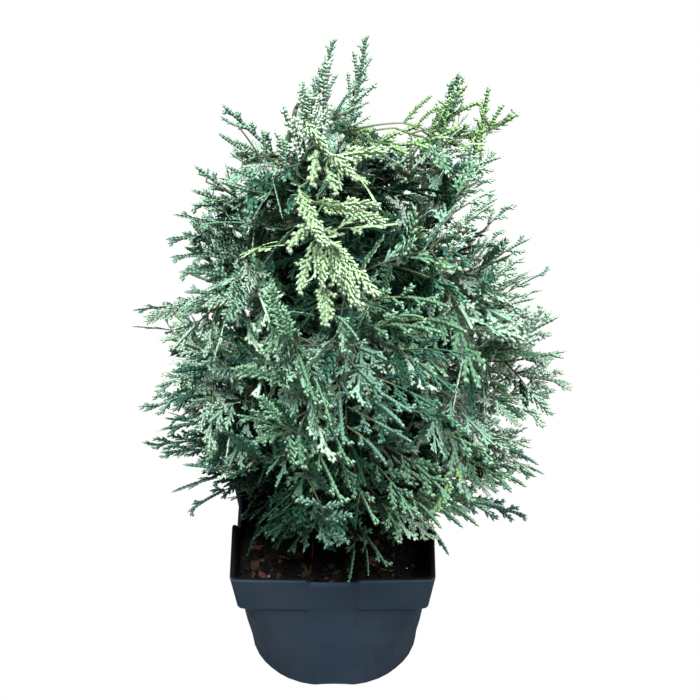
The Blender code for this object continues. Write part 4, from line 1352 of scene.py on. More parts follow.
# %% Places of the named sprays
SHOWN = (
    # form, tone, turn, share of the full width, lift, places of the start and the tip
    ("tip", "grey", 0, 1.0, 0, ((303, 120, 335, 41), (349, 131, 367, 38))),
    ("tip", "light", 0, 1.5, 0, ((300, 124, 307, 95), (306, 118, 303, 84), (309, 120, 310, 98))),
    ("tip", "light", 0, 1.0, 0, ((325, 122, 329, 66), (305, 118, 301, 90), (350, 112, 348, 74),
     (320, 92, 326, 62), (357, 80, 354, 54), (362, 72, 371, 58), (318, 90, 313, 78))),
    ("tip", "light", 0, 1.0, 0, ((353, 102, 374, 85), (354, 108, 368, 102), (351, 126, 368, 117),
     (298, 140, 285, 110), (286, 160, 277, 135), (327, 98, 336, 76))),
    ("plume", "silver", 20, 0.8, 0, ((300, 165, 292, 120), (308, 150, 300, 122))),
    ("tip", "silver", 20, 1.0, 0, ((322, 140, 330, 108), (312, 140, 318, 98),
     (316, 136, 324, 114))),
    ("slim", "grey", 0, 0.9, 0, ((298, 180, 226, 108), (262, 160, 222, 136), (255, 168, 232, 154),
     (270, 160, 262, 132), (240, 200, 199, 169), (250, 205, 197, 192), (285, 212, 196, 208),
     (270, 185, 230, 168), (275, 195, 225, 183))),
    ("tip", "grey", 0, 1.0, 0, ((264, 156, 264, 134), (238, 126, 223, 118), (284, 168, 284, 142),
     (206, 182, 208, 170), (214, 190, 214, 174), (256, 152, 236, 142))),
    ("slim", "light", 20, 0.8, 6, ((308, 182, 248, 166),)),
    ("slim", "grey", 40, 1.0, 3, ((280, 248, 172, 239), (264, 240, 180, 216), (280, 266, 176, 257),
     (268, 290, 184, 275), (285, 230, 205, 225), (262, 300, 190, 292))),
    ("slim", "fresh", 10, 0.8, -12, ((346, 130, 458, 128), (395, 128, 514, 116))),
    ("tip", "fresh", 0, 1.0, 0, ((472, 160, 488, 90), (490, 130, 502, 107), (437, 128, 480, 102),
     (404, 123, 430, 97), (465, 138, 516, 115), (430, 132, 448, 100), (444, 128, 455, 90),
     (450, 116, 464, 88), (440, 118, 436, 104), (452, 98, 463, 80), (420, 122, 437, 108),
     (486, 120, 479, 104))),
    ("tip", "green", 0, 1.3, 0, ((432, 140, 458, 77), (452, 112, 452, 84), (446, 108, 462, 100))),
    ("frond", "light", 10, 0.8, 2, ((430, 250, 462, 222), (440, 264, 472, 236),
     (448, 180, 497, 158), (452, 205, 491, 181), (455, 212, 492, 191), (458, 232, 490, 206),
     (478, 236, 513, 207), (476, 260, 503, 232), (486, 266, 526, 240), (490, 280, 521, 259),
     (430, 170, 462, 150))),
    ("slim", "grey", 60, 0.8, 2, ((488, 304, 547, 269), (496, 308, 538, 291),
     (486, 300, 530, 277))),
    ("frond", "light", 0, 0.8, 1, ((484, 372, 566, 388), (498, 350, 553, 319), (505, 362, 560, 352),
     (494, 388, 540, 424), (490, 345, 527, 308), (455, 425, 526, 446))),
    ("plume", "light", 0, 0.9, 1, ((520, 350, 540, 310), (525, 385, 549, 412), (495, 400, 517, 424),
     (528, 372, 550, 374), (470, 330, 520, 338))),
    ("slim", "steel", 20, 0.8, 2, ((488, 445, 534, 462), (498, 460, 540, 472),
     (510, 440, 526, 428))),
    ("frond", "green", 10, 0.9, 5, ((425, 440, 508, 489), (385, 446, 446, 503),
     (432, 430, 488, 462), (372, 462, 412, 516), (378, 498, 398, 540))),
    ("slim", "steel", 30, 1.0, 4, ((400, 498, 523, 517), (410, 510, 446, 550),
     (430, 500, 500, 506))),
    ("slim", "green", 20, 1.0, 3, ((398, 492, 438, 524), (408, 494, 458, 523), (425, 496, 474, 522),
     (470, 462, 532, 475), (478, 470, 522, 484), (440, 492, 488, 512))),
    ("frond", "light", 10, 0.9, 1, ((486, 312, 530, 299), (500, 452, 528, 470),
     (486, 290, 515, 262), (462, 190, 482, 166), (462, 222, 494, 200))),
    ("slim", "steel", 0, 1.0, 2, ((336, 342, 383, 358), (340, 354, 380, 392), (343, 368, 411, 408),
     (345, 386, 400, 423), (346, 406, 408, 440), (346, 426, 384, 461), (338, 400, 317, 370),
     (341, 350, 347, 442))),
    ("slim", "green", 25, 0.9, 8, ((288, 326, 318, 402), (300, 356, 330, 422), (312, 396, 350, 462),
     (302, 424, 344, 500), (318, 440, 374, 521), (345, 512, 388, 564))),
    ("slim", "green", 20, 1.0, 4, ((355, 528, 349, 579), (362, 534, 368, 573), (318, 308, 356, 337),
     (350, 330, 436, 331), (372, 300, 446, 306), (380, 326, 420, 317), (400, 322, 462, 330))),
    ("frond", "blue", 20, 0.7, 4, ((364, 374, 438, 403), (390, 345, 455, 388), (400, 350, 470, 352),
     (400, 268, 462, 300), (420, 240, 470, 262), (392, 410, 455, 425))),
    ("frond", "green", 10, 0.55, 2, ((297, 434, 242, 416), (296, 346, 262, 298))),
    ("plume", "green", 10, 1.0, 1, ((288, 424, 293, 461), (299, 434, 302, 464),
     (294, 342, 273, 288), (292, 334, 266, 351), (282, 425, 262, 399), (284, 432, 257, 441))),
    ("plume", "green", 30, 0.8, 1, ((304, 388, 236, 370),)),
    ("plume", "light", 30, 0.8, 1, ((262, 296, 206, 306), (214, 304, 150, 321))),
    ("slim", "blue", 60, 1.0, 1, ((302, 384, 218, 335), (236, 304, 138, 310),
     (205, 336, 137, 327))),
    ("slim", "steel", 10, 1.0, 1, ((290, 446, 277, 484), (286, 448, 268, 472),
     (308, 474, 329, 543))),
    ("plume", "steel", 10, 1.0, 0, ((322, 508, 340, 504), (324, 520, 348, 515),
     (326, 534, 346, 541), (320, 505, 300, 500))),
    ("frond", "light", 0, 0.75, 2, ((222, 302, 176, 346), (214, 372, 209, 448),
     (216, 310, 204, 354))),
    ("frond", "grey", 10, 0.7, 2, ((224, 382, 145, 406), (240, 370, 161, 390))),
    ("frond", "blue", 10, 0.6, 1, ((246, 438, 147, 443), (244, 450, 165, 456),
     (230, 420, 168, 428))),
    ("slim", "blue", 30, 1.0, 3, ((240, 366, 178, 371), (250, 352, 192, 358))),
    ("slim", "steel", 30, 0.8, 3, ((262, 470, 178, 490), (256, 480, 192, 512),
     (246, 474, 190, 465))),
    ("slim", "deep", 30, 0.8, 3, ((300, 496, 256, 536), (294, 508, 278, 546), (300, 486, 262, 520),
     (270, 500, 248, 552))),
    ("plume", "pale", 20, 0.75, 3, ((303, 119, 328, 153), (326, 151, 354, 178),
     (332, 158, 383, 152), (298, 189, 327, 243), (325, 240, 351, 303), (327, 243, 377, 292),
     (312, 202, 383, 225), (335, 206, 376, 205))),
    ("plume", "pale", 10, 1.0, 1, ((318, 150, 312, 181), (326, 168, 336, 191), (312, 222, 290, 246),
     (306, 224, 322, 240), (334, 262, 358, 303), (326, 250, 322, 284), (312, 256, 300, 290),
     (322, 280, 326, 322))),
)
print(sum(len(row[-1]) for row in SHOWN), "places")

# %% Twigs that carry them
TIE_SHARES = (0.15, 0.25, 0.35, 0.45, 0.55, 0.65, 0.75, 0.85)
TIE_TURN = 10.0
TIE_DRESS = 5.0
# Tones of tie plumes on the lit right and high up; elsewhere they take the deep painted shade.
SUNNY_DRESS = ("blue", "green", "grey", "grey", "deep")
ties = []
TIE_OUT = (0.5, 0.9)
TIE_SPANS = (12.0, 20.0)
TIE_PLUME_LIFT = 1.0


def carrier_of(start, tip):
    """The point of a twig or limb from which a twig can best grow on to a spray."""
    spots = [Vector(row[:3]) for line in limbs for row in line if row[2] > DRESS_LOW]
    spots += [arch(mass["root"], mass["tip"], mass["lift"], max(share, mass["first"]))
              for mass in masses for share in TIE_SHARES]
    spots += [end for _, end, _ in ties] + [begin.lerp(end, 0.5) for begin, end, _ in ties]
    aim = (tip - start).normalized()

    def cost(spot):
        way = start - spot
        return way.length + TIE_TURN * (1.0 - aim.dot(way.normalized()))

    return min(spots, key=cost)


def dress_tie(rng, begin, end):
    """Plumes on a twig tying a spray to the plant, darkest off the lit parts, as painted shade."""
    aim = (end - begin).normalized()
    count = int((end - begin).length / TIE_DRESS)
    for index in range(count):
        spot = begin.lerp(end, (index + 0.5) / count)
        across = aim.orthogonal().normalized()
        across = Matrix.Rotation(math.radians(DRESS_TURN * index) + rng.random(), 3, aim) @ across
        heading = (aim + across * rng.uniform(*TIE_OUT)).normalized()
        tip = spot + heading * rng.uniform(*TIE_SPANS)
        if in_outline([tip]).all() and crown_level(np.array([tip]))[0] < CROWN_SLACK:
            sunny = tip.x - CROWN_X > SUN_FROM or tip.z > HIGH_LEVEL
            tone = rng.choice(SUNNY_DRESS) if sunny else "deep"
            add_spray(near_mass(tip), spot, tip, TIE_PLUME_LIFT, aim.cross(across), "plume", tone)


print("a tie can leave a twig at", len(TIE_SHARES), "places")

# %% Laying the named sprays
SHOWN_TIP = 1.02
SHOWN_SINK = 0.35
SHOWN_TURN = 18.0
PALE_TONES = ("pale", "fresh")


def lay_shown(rng):
    """The sprays that the photograph shows singly."""
    for form, tone, turn, wide, lift, places in SHOWN:
        for u, v, tip_u, tip_v in places:
            tip = seen_at(tip_u, tip_v, SHOWN_TIP)
            depth = float((np.array(tip) - EYE) @ LOOKING)
            length = math.hypot(tip_u - u, tip_v - v) * depth / PHOTO_SCALE
            start = Vector(EYE + sight_line(u, v) * (depth + SHOWN_SINK * length))
            aim = (tip - start).normalized()
            side = Vector(LOOKING).cross(aim).normalized()
            turned = math.radians(turn + rng.uniform(-SHOWN_TURN, SHOWN_TURN))
            side = Matrix.Rotation(turned, 3, aim) @ side
            add_spray(near_mass(tip), start, tip, lift, side, form, tone, wide=wide)
            begin = carrier_of(start, tip)
            if tone not in PALE_TONES:
                dress_tie(rng, begin, start)
            ties.append((begin, start, tone in PALE_TONES))


lay_shown(random.Random(SEED + 6))
print(len(ties), "sprays laid by the photograph, the longest tie",
      round(max((end - start).length for start, end, _ in ties)), "mm")

# %% [markdown]
# ## The dark inside
#
# Between the outer sprays one looks into older foliage close to the limbs, lying in shade. It is
# made of the plainest pattern, in the darkest colour as painted shade, and it closes the crown
# where the photograph shows no sky.

# %% Inner sprays
INNER_COUNT = 230
INNER_LOW = 84.0
INNER_HIGH = 262.0
INNER_REACH = (0.45, 0.74)
INNER_RISE = (-6.0, 22.0)
INNER_START = 0.25
INNER_ROLL = 1.2
INNER_LIFT = 3.0


def deal_inner(rng):
    """Sprays round the limbs, all round and at all heights, in the darkest colour as painted shade.
    """
    for index in range(INNER_COUNT):
        height = INNER_LOW + (INNER_HIGH - INNER_LOW) * (index + rng.random()) / INNER_COUNT
        line = limbs[rng.randrange(len(limbs))]
        spot = limb_at(line, height) or limb_at(limbs[0], height)
        start = Vector(spot[:3])
        bearing = rng.uniform(0.0, 2.0 * math.pi)
        away = reach(bearing, height) * rng.uniform(*INNER_REACH)
        tip = Vector((CROWN_X + away * math.cos(bearing), away * math.sin(bearing),
                      height + rng.uniform(*INNER_RISE)))
        start = start.lerp(tip, INNER_START)
        aim = (tip - start).normalized()
        flat = UP.cross(aim).normalized()
        side = Matrix.Rotation(rng.uniform(-INNER_ROLL, INNER_ROLL), 3, aim) @ flat
        if in_outline([tip]).all():
            add_spray(near_mass(tip), start, tip, INNER_LIFT, side, "inner", "deep")


deal_inner(random.Random(SEED + 2))
print(len(sprays), "sprays in all")

# %% [markdown]
# ## Looks that several finishes share
#
# Real surfaces are never evenly shiny. One group of nodes gives a soft uneven value in the piece's
# own coordinates, and each material turns it into its own roughness, tint or bump.

# %% Shared mottle


def set_inputs(node, values):
    """Sets inputs of a node by their names."""
    for name, value in values.items():
        node.inputs[name].default_value = value


def mottle_group():
    """A group that gives an uneven value between 0 and 1."""
    tree = bpy.data.node_groups.new("mottle", "ShaderNodeTree")
    for name, way in (("Scale", "INPUT"), ("Detail", "INPUT"), ("Value", "OUTPUT")):
        tree.interface.new_socket(name, in_out=way, socket_type="NodeSocketFloat")
    enter = tree.nodes.new("NodeGroupInput")
    leave = tree.nodes.new("NodeGroupOutput")
    coordinates = tree.nodes.new("ShaderNodeTexCoord")
    cloud = tree.nodes.new("ShaderNodeTexNoise")
    tree.links.new(coordinates.outputs["Object"], cloud.inputs["Vector"])
    tree.links.new(enter.outputs["Scale"], cloud.inputs["Scale"])
    tree.links.new(enter.outputs["Detail"], cloud.inputs["Detail"])
    tree.links.new(cloud.outputs["Fac"], leave.inputs["Value"])
    return tree


MOTTLE = mottle_group()
print("the shared mottle has", len(MOTTLE.nodes), "nodes")

# %% Parts of a material
MOTTLE_LOW, MOTTLE_HIGH = 0.3, 0.7


def plain_material(name, colour, roughness, shine=0.5):
    """A material with one base colour. Returns it with its tree and shader."""
    material = bpy.data.materials.new(name)
    material.use_nodes = True
    material.diffuse_color = (*colour, 1.0)
    shader = material.node_tree.nodes["Principled BSDF"]
    set_inputs(shader, {"Base Color": (*colour, 1.0), "Roughness": roughness,
                        "Specular IOR Level": shine})
    return material, material.node_tree, shader


def mottle(tree, scale, detail, low, high):
    """The shared mottle in a material, spread between two values."""
    group = tree.nodes.new("ShaderNodeGroup")
    group.node_tree = MOTTLE
    set_inputs(group, {"Scale": scale, "Detail": detail})
    spread = tree.nodes.new("ShaderNodeMapRange")
    set_inputs(spread, {"From Min": MOTTLE_LOW, "From Max": MOTTLE_HIGH,
                        "To Min": low, "To Max": high})
    tree.links.new(group.outputs["Value"], spread.inputs["Value"])
    return spread.outputs["Result"]


def add_bump(tree, shader, height, strength, distance):
    """A bump from a height."""
    bump = tree.nodes.new("ShaderNodeBump")
    set_inputs(bump, {"Strength": strength, "Distance": distance})
    tree.links.new(height, bump.inputs["Height"])
    tree.links.new(bump.outputs["Normal"], shader.inputs["Normal"])


def mix_colours(tree, shader, share, first, second):
    """A base colour between a first one, which may come from a node, and a plain second one."""
    mix = tree.nodes.new("ShaderNodeMix")
    mix.data_type = "RGBA"
    mix.inputs["B"].default_value = (*second, 1.0)
    if isinstance(first, tuple):
        mix.inputs["A"].default_value = (*first, 1.0)
    else:
        tree.links.new(first, mix.inputs["A"])
    tree.links.new(share, mix.inputs["Factor"])
    tree.links.new(mix.outputs["Result"], shader.inputs["Base Color"])


print("materials are made of a plain colour, the mottle, a bump and a mix")

# %% [markdown]
# ## Colours of the foliage
#
# Under its waxy bloom the foliage is blue-green. Young tips are yellow-green, sprays on top and on
# the right are paler, as painted light, and the old inner ones are nearly black, as painted shade.
# Every spray takes one plain colour and its tips another, so no picture is laid over the crown.

# %% Foliage colours
# deep is the darkest green, dealt as painted shade; light and silver, dealt on top and right, are
# partly painted light.
TONES = {
    "deep": (0.006, 0.027, 0.014),
    "deep_edge": (0.012, 0.046, 0.026),
    "blue": (0.030, 0.094, 0.062),
    "blue_edge": (0.053, 0.142, 0.096),
    "steel": (0.084, 0.178, 0.132),
    "steel_edge": (0.140, 0.250, 0.195),
    "green": (0.080, 0.173, 0.102),
    "green_edge": (0.130, 0.250, 0.154),
    "grey": (0.132, 0.236, 0.172),
    "grey_edge": (0.190, 0.312, 0.236),
    "light": (0.222, 0.330, 0.250),
    "light_edge": (0.278, 0.388, 0.302),
    "silver": (0.316, 0.402, 0.328),
    "silver_edge": (0.370, 0.454, 0.382),
    "fresh": (0.175, 0.305, 0.130),
    "fresh_edge": (0.240, 0.380, 0.170),
    "pale": (0.235, 0.360, 0.200),
    "pale_edge": (0.300, 0.435, 0.258),
    "tip_dim": (0.082, 0.195, 0.122),
    "tip_green": (0.160, 0.278, 0.180),
    "tip_yellow": (0.285, 0.398, 0.264),
    "axis": (0.085, 0.115, 0.055),
}
TIP_TONES = {"deep": "deep_edge", "blue": "tip_dim", "steel": "steel_edge", "green": "tip_green",
             "grey": "tip_green", "light": "tip_yellow", "silver": "tip_yellow",
             "fresh": "tip_yellow", "pale": "tip_yellow"}
LEAF_ROUGH = (0.42, 0.62)
LEAF_SHINE = 0.10
LEAF_MOTTLE = (260.0, 3.0)
LEAF_GRAIN = (1400.0, 2.0)
LEAF_BUMP = (0.25, 0.0002)


def leaf_material(tone):
    """A waxy scale-leaf finish of one colour."""
    material, tree, shader = plain_material("leaf_" + tone, TONES[tone], 0.5, LEAF_SHINE)
    tree.links.new(mottle(tree, *LEAF_MOTTLE, *LEAF_ROUGH), shader.inputs["Roughness"])
    add_bump(tree, shader, mottle(tree, *LEAF_GRAIN, 0.0, 1.0), *LEAF_BUMP)
    return material


leaf_materials = {tone: leaf_material(tone) for tone in TONES}
print(len(leaf_materials), "leaf colours")

# %% [markdown]
# ## Making the foliage
#
# All leaves of one colour are joined into pieces under 200,000 triangles. Joined meshes are used
# because instances and particles would be lost when the model is exported. Each piece hides the
# imported masses that its leaves stand for.

# %% Foliage pieces
MOST_TRIANGLES = 190000


def foliage_arrays(rng):
    """For each colour a list of leaf points with the names of the masses they stand for."""
    heaps = {tone: [] for tone in TONES}
    for spray in sprays:
        start, tip, body = spray["start"], spray["tip"], spray["tone"]
        pattern = pick_pattern(spray["form"], (tip - start).length, rng)
        bent = bend_pattern(pattern, start, tip, spray["lift"], spray["side"], spray["wide"])
        tones = {BODY: body, EDGE: body + "_edge", TIP: TIP_TONES[body], AXIS: "axis"}
        for kind, tone in tones.items():
            part = bent[pattern["kinds"] == kind]
            if len(part):
                heaps[tone].append((part, spray["mass"]["name"]))
    return heaps


def foliage_piece(name, parts, tone):
    """One joined mesh of leaves."""
    points = to_frame(np.concatenate([part for part, _ in parts]).reshape(-1, 3))
    count = len(points) // len(leaf_points)
    firsts = np.arange(count)[:, None, None] * len(leaf_points)
    corners = (leaf_triangles[None, :, :] + firsts).reshape(-1)
    mesh = bpy.data.meshes.new(name)
    mesh.vertices.add(len(points))
    mesh.vertices.foreach_set("co", points.astype(np.float32).ravel())
    mesh.loops.add(len(corners))
    mesh.loops.foreach_set("vertex_index", corners.astype(np.int32))
    faces = len(corners) // 3
    mesh.polygons.add(faces)
    mesh.polygons.foreach_set("loop_start", np.arange(0, 3 * faces, 3, dtype=np.int32))
    mesh.update(calc_edges=True)
    mesh.materials.append(leaf_materials[tone])
    piece = bpy.data.objects.new(name, mesh)
    bpy.context.scene.collection.objects.link(piece)
    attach(piece, "root")
    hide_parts(*sorted({mass for _, mass in parts}))
    return faces


def make_foliage():
    """Every colour's pieces."""
    total = 0
    for tone, parts in foliage_arrays(random.Random(SEED + 3)).items():
        groups = [[]]
        size = 0
        for part in parts:
            triangles = len(part[0]) * len(leaf_triangles)
            if size + triangles > MOST_TRIANGLES:
                groups.append([])
                size = 0
            groups[-1].append(part)
            size += triangles
        for index, group in enumerate(groups):
            if group:
                faces = foliage_piece(f"leaves_{tone}_{index + 1}", group, tone)
                print(f"leaves_{tone}_{index + 1}", faces, "triangles")
                total += faces
    return total


leaf_total = make_foliage()
print(leaf_total, "triangles of foliage")

# %% [markdown]
# ## Twigs
#
# A thin twig, green-brown while it is young, carries the sprays of each mass, and a finer one ties
# each named spray to it. They are bevelled curves turned into a mesh, because a tapering tube is
# what a bevelled curve does best. All twigs are joined in one piece and those of the pale shoots,
# which are paler, in another.

# %% Tapering tubes
TUBE_WELD = 0.0005


def tube_line(name, rows, sides):
    """A tapering tube along rows of x, y, z and radius, as a bmesh in millimetres."""
    outline = bpy.data.curves.new("outline", "CURVE")
    outline.dimensions = "2D"
    ring = outline.splines.new("POLY")
    ring.points.add(sides - 1)
    for index in range(sides):
        angle = 2.0 * math.pi * index / sides
        ring.points[index].co = (math.cos(angle), math.sin(angle), 0.0, 1.0)
    ring.use_cyclic_u = True
    outline_object = bpy.data.objects.new("outline", outline)
    curve = bpy.data.curves.new(name, "CURVE")
    curve.dimensions = "3D"
    curve.twist_mode = "MINIMUM"
    curve.bevel_mode = "OBJECT"
    curve.bevel_object = outline_object
    curve.use_fill_caps = True
    line = curve.splines.new("POLY")
    line.points.add(len(rows) - 1)
    for index, (x, y, z, radius) in enumerate(rows):
        line.points[index].co = (x, y, z, 1.0)
        line.points[index].radius = radius
    source = bpy.data.objects.new(name, curve)
    bpy.context.scene.collection.objects.link(outline_object)
    bpy.context.scene.collection.objects.link(source)
    graph = bpy.context.evaluated_depsgraph_get()
    mesh = bpy.data.meshes.new_from_object(source.evaluated_get(graph))
    bpy.data.objects.remove(source, do_unlink=True)
    bpy.data.objects.remove(outline_object, do_unlink=True)
    bm = bmesh.new()
    bm.from_mesh(mesh)
    bpy.data.meshes.remove(mesh)
    bmesh.ops.remove_doubles(bm, verts=bm.verts, dist=TUBE_WELD)
    bmesh.ops.recalc_face_normals(bm, faces=bm.faces)
    return bm


def joined(parts):
    """Several bmeshes as one."""
    whole = bmesh.new()
    for part in parts:
        mesh = bpy.data.meshes.new("part")
        part.to_mesh(mesh)
        part.free()
        whole.from_mesh(mesh)
        bpy.data.meshes.remove(mesh)
    return whole


print("points of a tube nearer than", TUBE_WELD, "mm are welded")

# %% Twigs
TWIG_END = 0.3
TWIG_POINTS = 9
TWIG_SIDES = 5
TWIG_ROOT = 0.8
TWIG_TIP = 0.25
TIE_LIFT = 0.08
TIE_ROOT = 0.45
TIE_TIP = 0.3


def twig_rows(start, tip, lift, first, last, thick, thin):
    """Rows along a part of an arching line, with a tapering radius."""
    rows = []
    for step in range(TWIG_POINTS):
        share = first + (last - first) * step / (TWIG_POINTS - 1)
        radius = thick + (thin - thick) * step / (TWIG_POINTS - 1)
        rows.append((*arch(start, tip, lift, share), radius))
    return rows


def make_twigs(name, pale):
    """The twigs of the pale masses, or those of the others with the ties of the single sprays."""
    parts = []
    for mass in masses:
        if is_pale(mass) != pale:
            continue
        last = max(mass.get("last", TWIG_END), mass["first"] + TWIG_PAST)
        rows = twig_rows(mass["root"], mass["tip"], mass["lift"], mass["first"], last,
                         TWIG_ROOT, TWIG_TIP)
        parts.append(tube_line("twig", rows, TWIG_SIDES))
    for start, end, tie_is_pale in ties:
        if tie_is_pale == pale:
            lift = TIE_LIFT * (end - start).length
            rows = twig_rows(start, end, lift, 0.0, 1.0, TIE_ROOT, TIE_TIP)
            parts.append(tube_line("tie", rows, TWIG_SIDES))
    piece = mesh_from(joined(parts), name)
    piece.data.shade_smooth()
    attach(piece, "root")
    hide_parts(*[mass["name"] for mass in masses if is_pale(mass) == pale])
    print(name, "of", len(piece.data.polygons), "faces")
    return piece


twigs = make_twigs("twigs", False)
pale_twigs = make_twigs("pale_twigs", True)

# %% [markdown]
# ## Bark
#
# The trunk and leaders have red-brown bark with shallow fissures that run lengthwise, and high up
# they are still green. A rounder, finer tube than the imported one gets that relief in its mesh, and
# finer grain in its material. The trunk's colours serve the leaders too.

# %% Limbs with relief
BARK_SIDES = 20
BARK_STEP = 1.6
BARK_RELIEF = 0.16
LIMB_NAMES = ("trunk", "right_leader", "middle_leader")
FISSURES = (2.6, 0.055, 1.0)
FINE_FISSURES = (6.0, 0.16, 0.6)


def dense_line(line, step):
    """A limb's line with rows close together."""
    dense = []
    for start, end in zip(line, line[1:]):
        count = max(1, round((Vector(end[:3]) - Vector(start[:3])).length / step))
        dense += [tuple(a + (b - a) * part / count for a, b in zip(start, end))
                  for part in range(count)]
    return dense + [line[-1]]


def fissures(angle, height, wide, long, depth):
    """Grain that runs lengthwise round a limb."""
    place = Vector((math.cos(angle) * wide, math.sin(angle) * wide, height * long))
    return depth * noise.noise(place)


def bark_limb(name, line):
    """A limb with fissures in its mesh."""
    rows = dense_line(line, BARK_STEP)
    bm = tube_line(name, rows, BARK_SIDES)
    bm.normal_update()
    for vert in bm.verts:
        _, away = nearest(vert.co, [line])
        angle = math.atan2(away.y, away.x)
        grain = (fissures(angle, vert.co.z, *FISSURES)
                 + fissures(angle, vert.co.z, *FINE_FISSURES))
        vert.co += vert.normal * BARK_RELIEF * grain
    piece = mesh_from(bm, name + "_bark")
    piece.data.shade_smooth()
    return piece


print("a relief of about", BARK_RELIEF, "mm in the bark")

# %% Bark finishes
YOUNG_FROM = (0.19, 0.28)
YOUNG_HIGH = (0.050, 0.074, 0.040)
YOUNG_LIGHT = (0.027, 0.040, 0.019)
OLD_GRAIN = 900.0
YOUNG_GRAIN = 700.0
BARK_ROUGH = (400.0, 3.0, 0.7, 0.95)
BARK_STRETCH = (1.0, 1.0, 0.12)
BARK_DETAIL = 6.0
BARK_EDGES = (0.35, 0.65)
BARK_BUMP = (0.6, 0.0004)


def bark_material(name, dark, light, scale, young=YOUNG_HIGH):
    """Bark: long grain of two colours, rough, with a fibrous bump, and a third colour high up."""
    material, tree, shader = plain_material(name, light, 0.85)
    coordinates = tree.nodes.new("ShaderNodeTexCoord")
    split = tree.nodes.new("ShaderNodeSeparateXYZ")
    level = tree.nodes.new("ShaderNodeMapRange")
    set_inputs(level, {"From Min": YOUNG_FROM[0], "From Max": YOUNG_FROM[1]})
    stretch = tree.nodes.new("ShaderNodeMapping")
    set_inputs(stretch, {"Scale": BARK_STRETCH})
    fibres = tree.nodes.new("ShaderNodeTexNoise")
    set_inputs(fibres, {"Scale": scale, "Detail": BARK_DETAIL})
    ramp = tree.nodes.new("ShaderNodeValToRGB")
    for element, place, colour in zip(ramp.color_ramp.elements, BARK_EDGES, (dark, light)):
        element.position = place
        element.color = (*colour, 1.0)
    tree.links.new(coordinates.outputs["Object"], stretch.inputs["Vector"])
    tree.links.new(stretch.outputs["Vector"], fibres.inputs["Vector"])
    tree.links.new(fibres.outputs["Fac"], ramp.inputs["Fac"])
    tree.links.new(coordinates.outputs["Object"], split.inputs["Vector"])
    tree.links.new(split.outputs["Z"], level.inputs["Value"])
    mix_colours(tree, shader, level.outputs["Result"], ramp.outputs["Color"], young)
    tree.links.new(mottle(tree, *BARK_ROUGH), shader.inputs["Roughness"])
    add_bump(tree, shader, fibres.outputs["Fac"], *BARK_BUMP)
    return material


OLD_BARK = bark_material("bark_old", (0.030, 0.017, 0.011), (0.12, 0.068, 0.042), OLD_GRAIN)
YOUNG_BARK = bark_material("bark_young", (0.012, 0.022, 0.010), YOUNG_LIGHT, YOUNG_GRAIN,
                           YOUNG_LIGHT)
PALE_BARK = bark_material("bark_pale", (0.050, 0.078, 0.030), (0.100, 0.150, 0.060),
                          YOUNG_GRAIN, (0.076, 0.118, 0.046))
twigs.data.materials.append(YOUNG_BARK)
pale_twigs.data.materials.append(PALE_BARK)
print("bark of three kinds, with grain of", OLD_GRAIN, "and", YOUNG_GRAIN)

# %% Trunk and leaders with bark
for name, line in zip(LIMB_NAMES, limbs):
    limb = bark_limb(name, line)
    limb.data.materials.append(OLD_BARK)
    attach(limb, "root")
    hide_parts(name)
    print(limb.name, len(limb.data.polygons), "faces")

# %% [markdown]
# ## Boughs
#
# The longest masses stand on boughs of their own, which end where the mass begins. They taper from
# the limb to the twig and carry the younger, smoother bark.

# %% Boughs
BOUGH_COUNT = 8


def bough_name(mass_name):
    """The name of the node of a mass's bough."""
    name = mass_name.replace("sprays", "bough")
    return name if name != mass_name else name + "_bough"


def bough_length(mass):
    """How much of a mass's line lies before its own space."""
    return mass["enter"] * (mass["tip"] - mass["root"]).length


carried = sorted(masses, key=lambda mass: -bough_length(mass))[:BOUGH_COUNT]
for mass in carried:
    rows = twig_rows(mass["root"], mass["tip"], mass["lift"], mass["first"], mass["enter"],
                     BOUGH_RADIUS, STEM_RADIUS)
    bough = bark_limb(bough_name(mass["name"]), rows)
    bough.data.materials.append(YOUNG_BARK)
    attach(bough, "root")
    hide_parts(bough_name(mass["name"]))
print("boughs", [bough_name(mass["name"]) for mass in carried])

# %% [markdown]
# ## Pot
#
# The thin pot is moulded in dull, dark blue-grey plastic. Its shape is right as packed, so only its
# finish is made: faint paler blotches, uneven dullness and a very fine grain.

# %% Pot
POT_DARK = (0.0120, 0.0225, 0.0370)
POT_PALE = (0.0190, 0.0300, 0.0450)
POT_SHINE = 0.06
POT_BLOTCHES = (38.0, 4.0, 0.0, 1.0)
POT_ROUGH = (120.0, 5.0, 0.72, 0.90)
POT_GRAIN = (900.0, 4.0, 0.0, 1.0)
POT_BUMP = (0.12, 0.0002)


def pot_material():
    """Matt moulded plastic with faint blotches."""
    material, tree, shader = plain_material("pot_plastic", POT_DARK, 0.8, POT_SHINE)
    mix_colours(tree, shader, mottle(tree, *POT_BLOTCHES), POT_DARK, POT_PALE)
    tree.links.new(mottle(tree, *POT_ROUGH), shader.inputs["Roughness"])
    add_bump(tree, shader, mottle(tree, *POT_GRAIN), *POT_BUMP)
    return material


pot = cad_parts["pot"]
pot.material_slots[0].material = pot_material()
print("pot finish on", pot.name)

# %% [markdown]
# ## Soil
#
# The soil is moist near-black peat with crumbs, chips of red-brown bark, a few grains of perlite
# and a few bare roots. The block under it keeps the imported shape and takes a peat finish. What lies
# on it is made loose: each crumb or chip is the convex hull of a few random points, which gives
# broken, angular shapes at a few faces each, and all of one kind are one mesh.

# %% Soil surface
SOIL_ROUGH = 1.3
SOIL_FLAT = 9.0
SOIL_EASE = 6.0
SOIL_WAVES = ((0.11, 3.7, 1.0), (0.3, 9.1, 0.6))
PEAT_COLOUR = (0.0008, 0.0008, 0.0006)
PEAT_SCALE = 500.0
ROUGH_SPREAD = (5.0, 0.7, 1.0)
GRAIN_FINER = 1.6
GRAIN_SPREAD = (6.0, 0.0, 1.0)
GRAIN_DEPTH = 0.0006


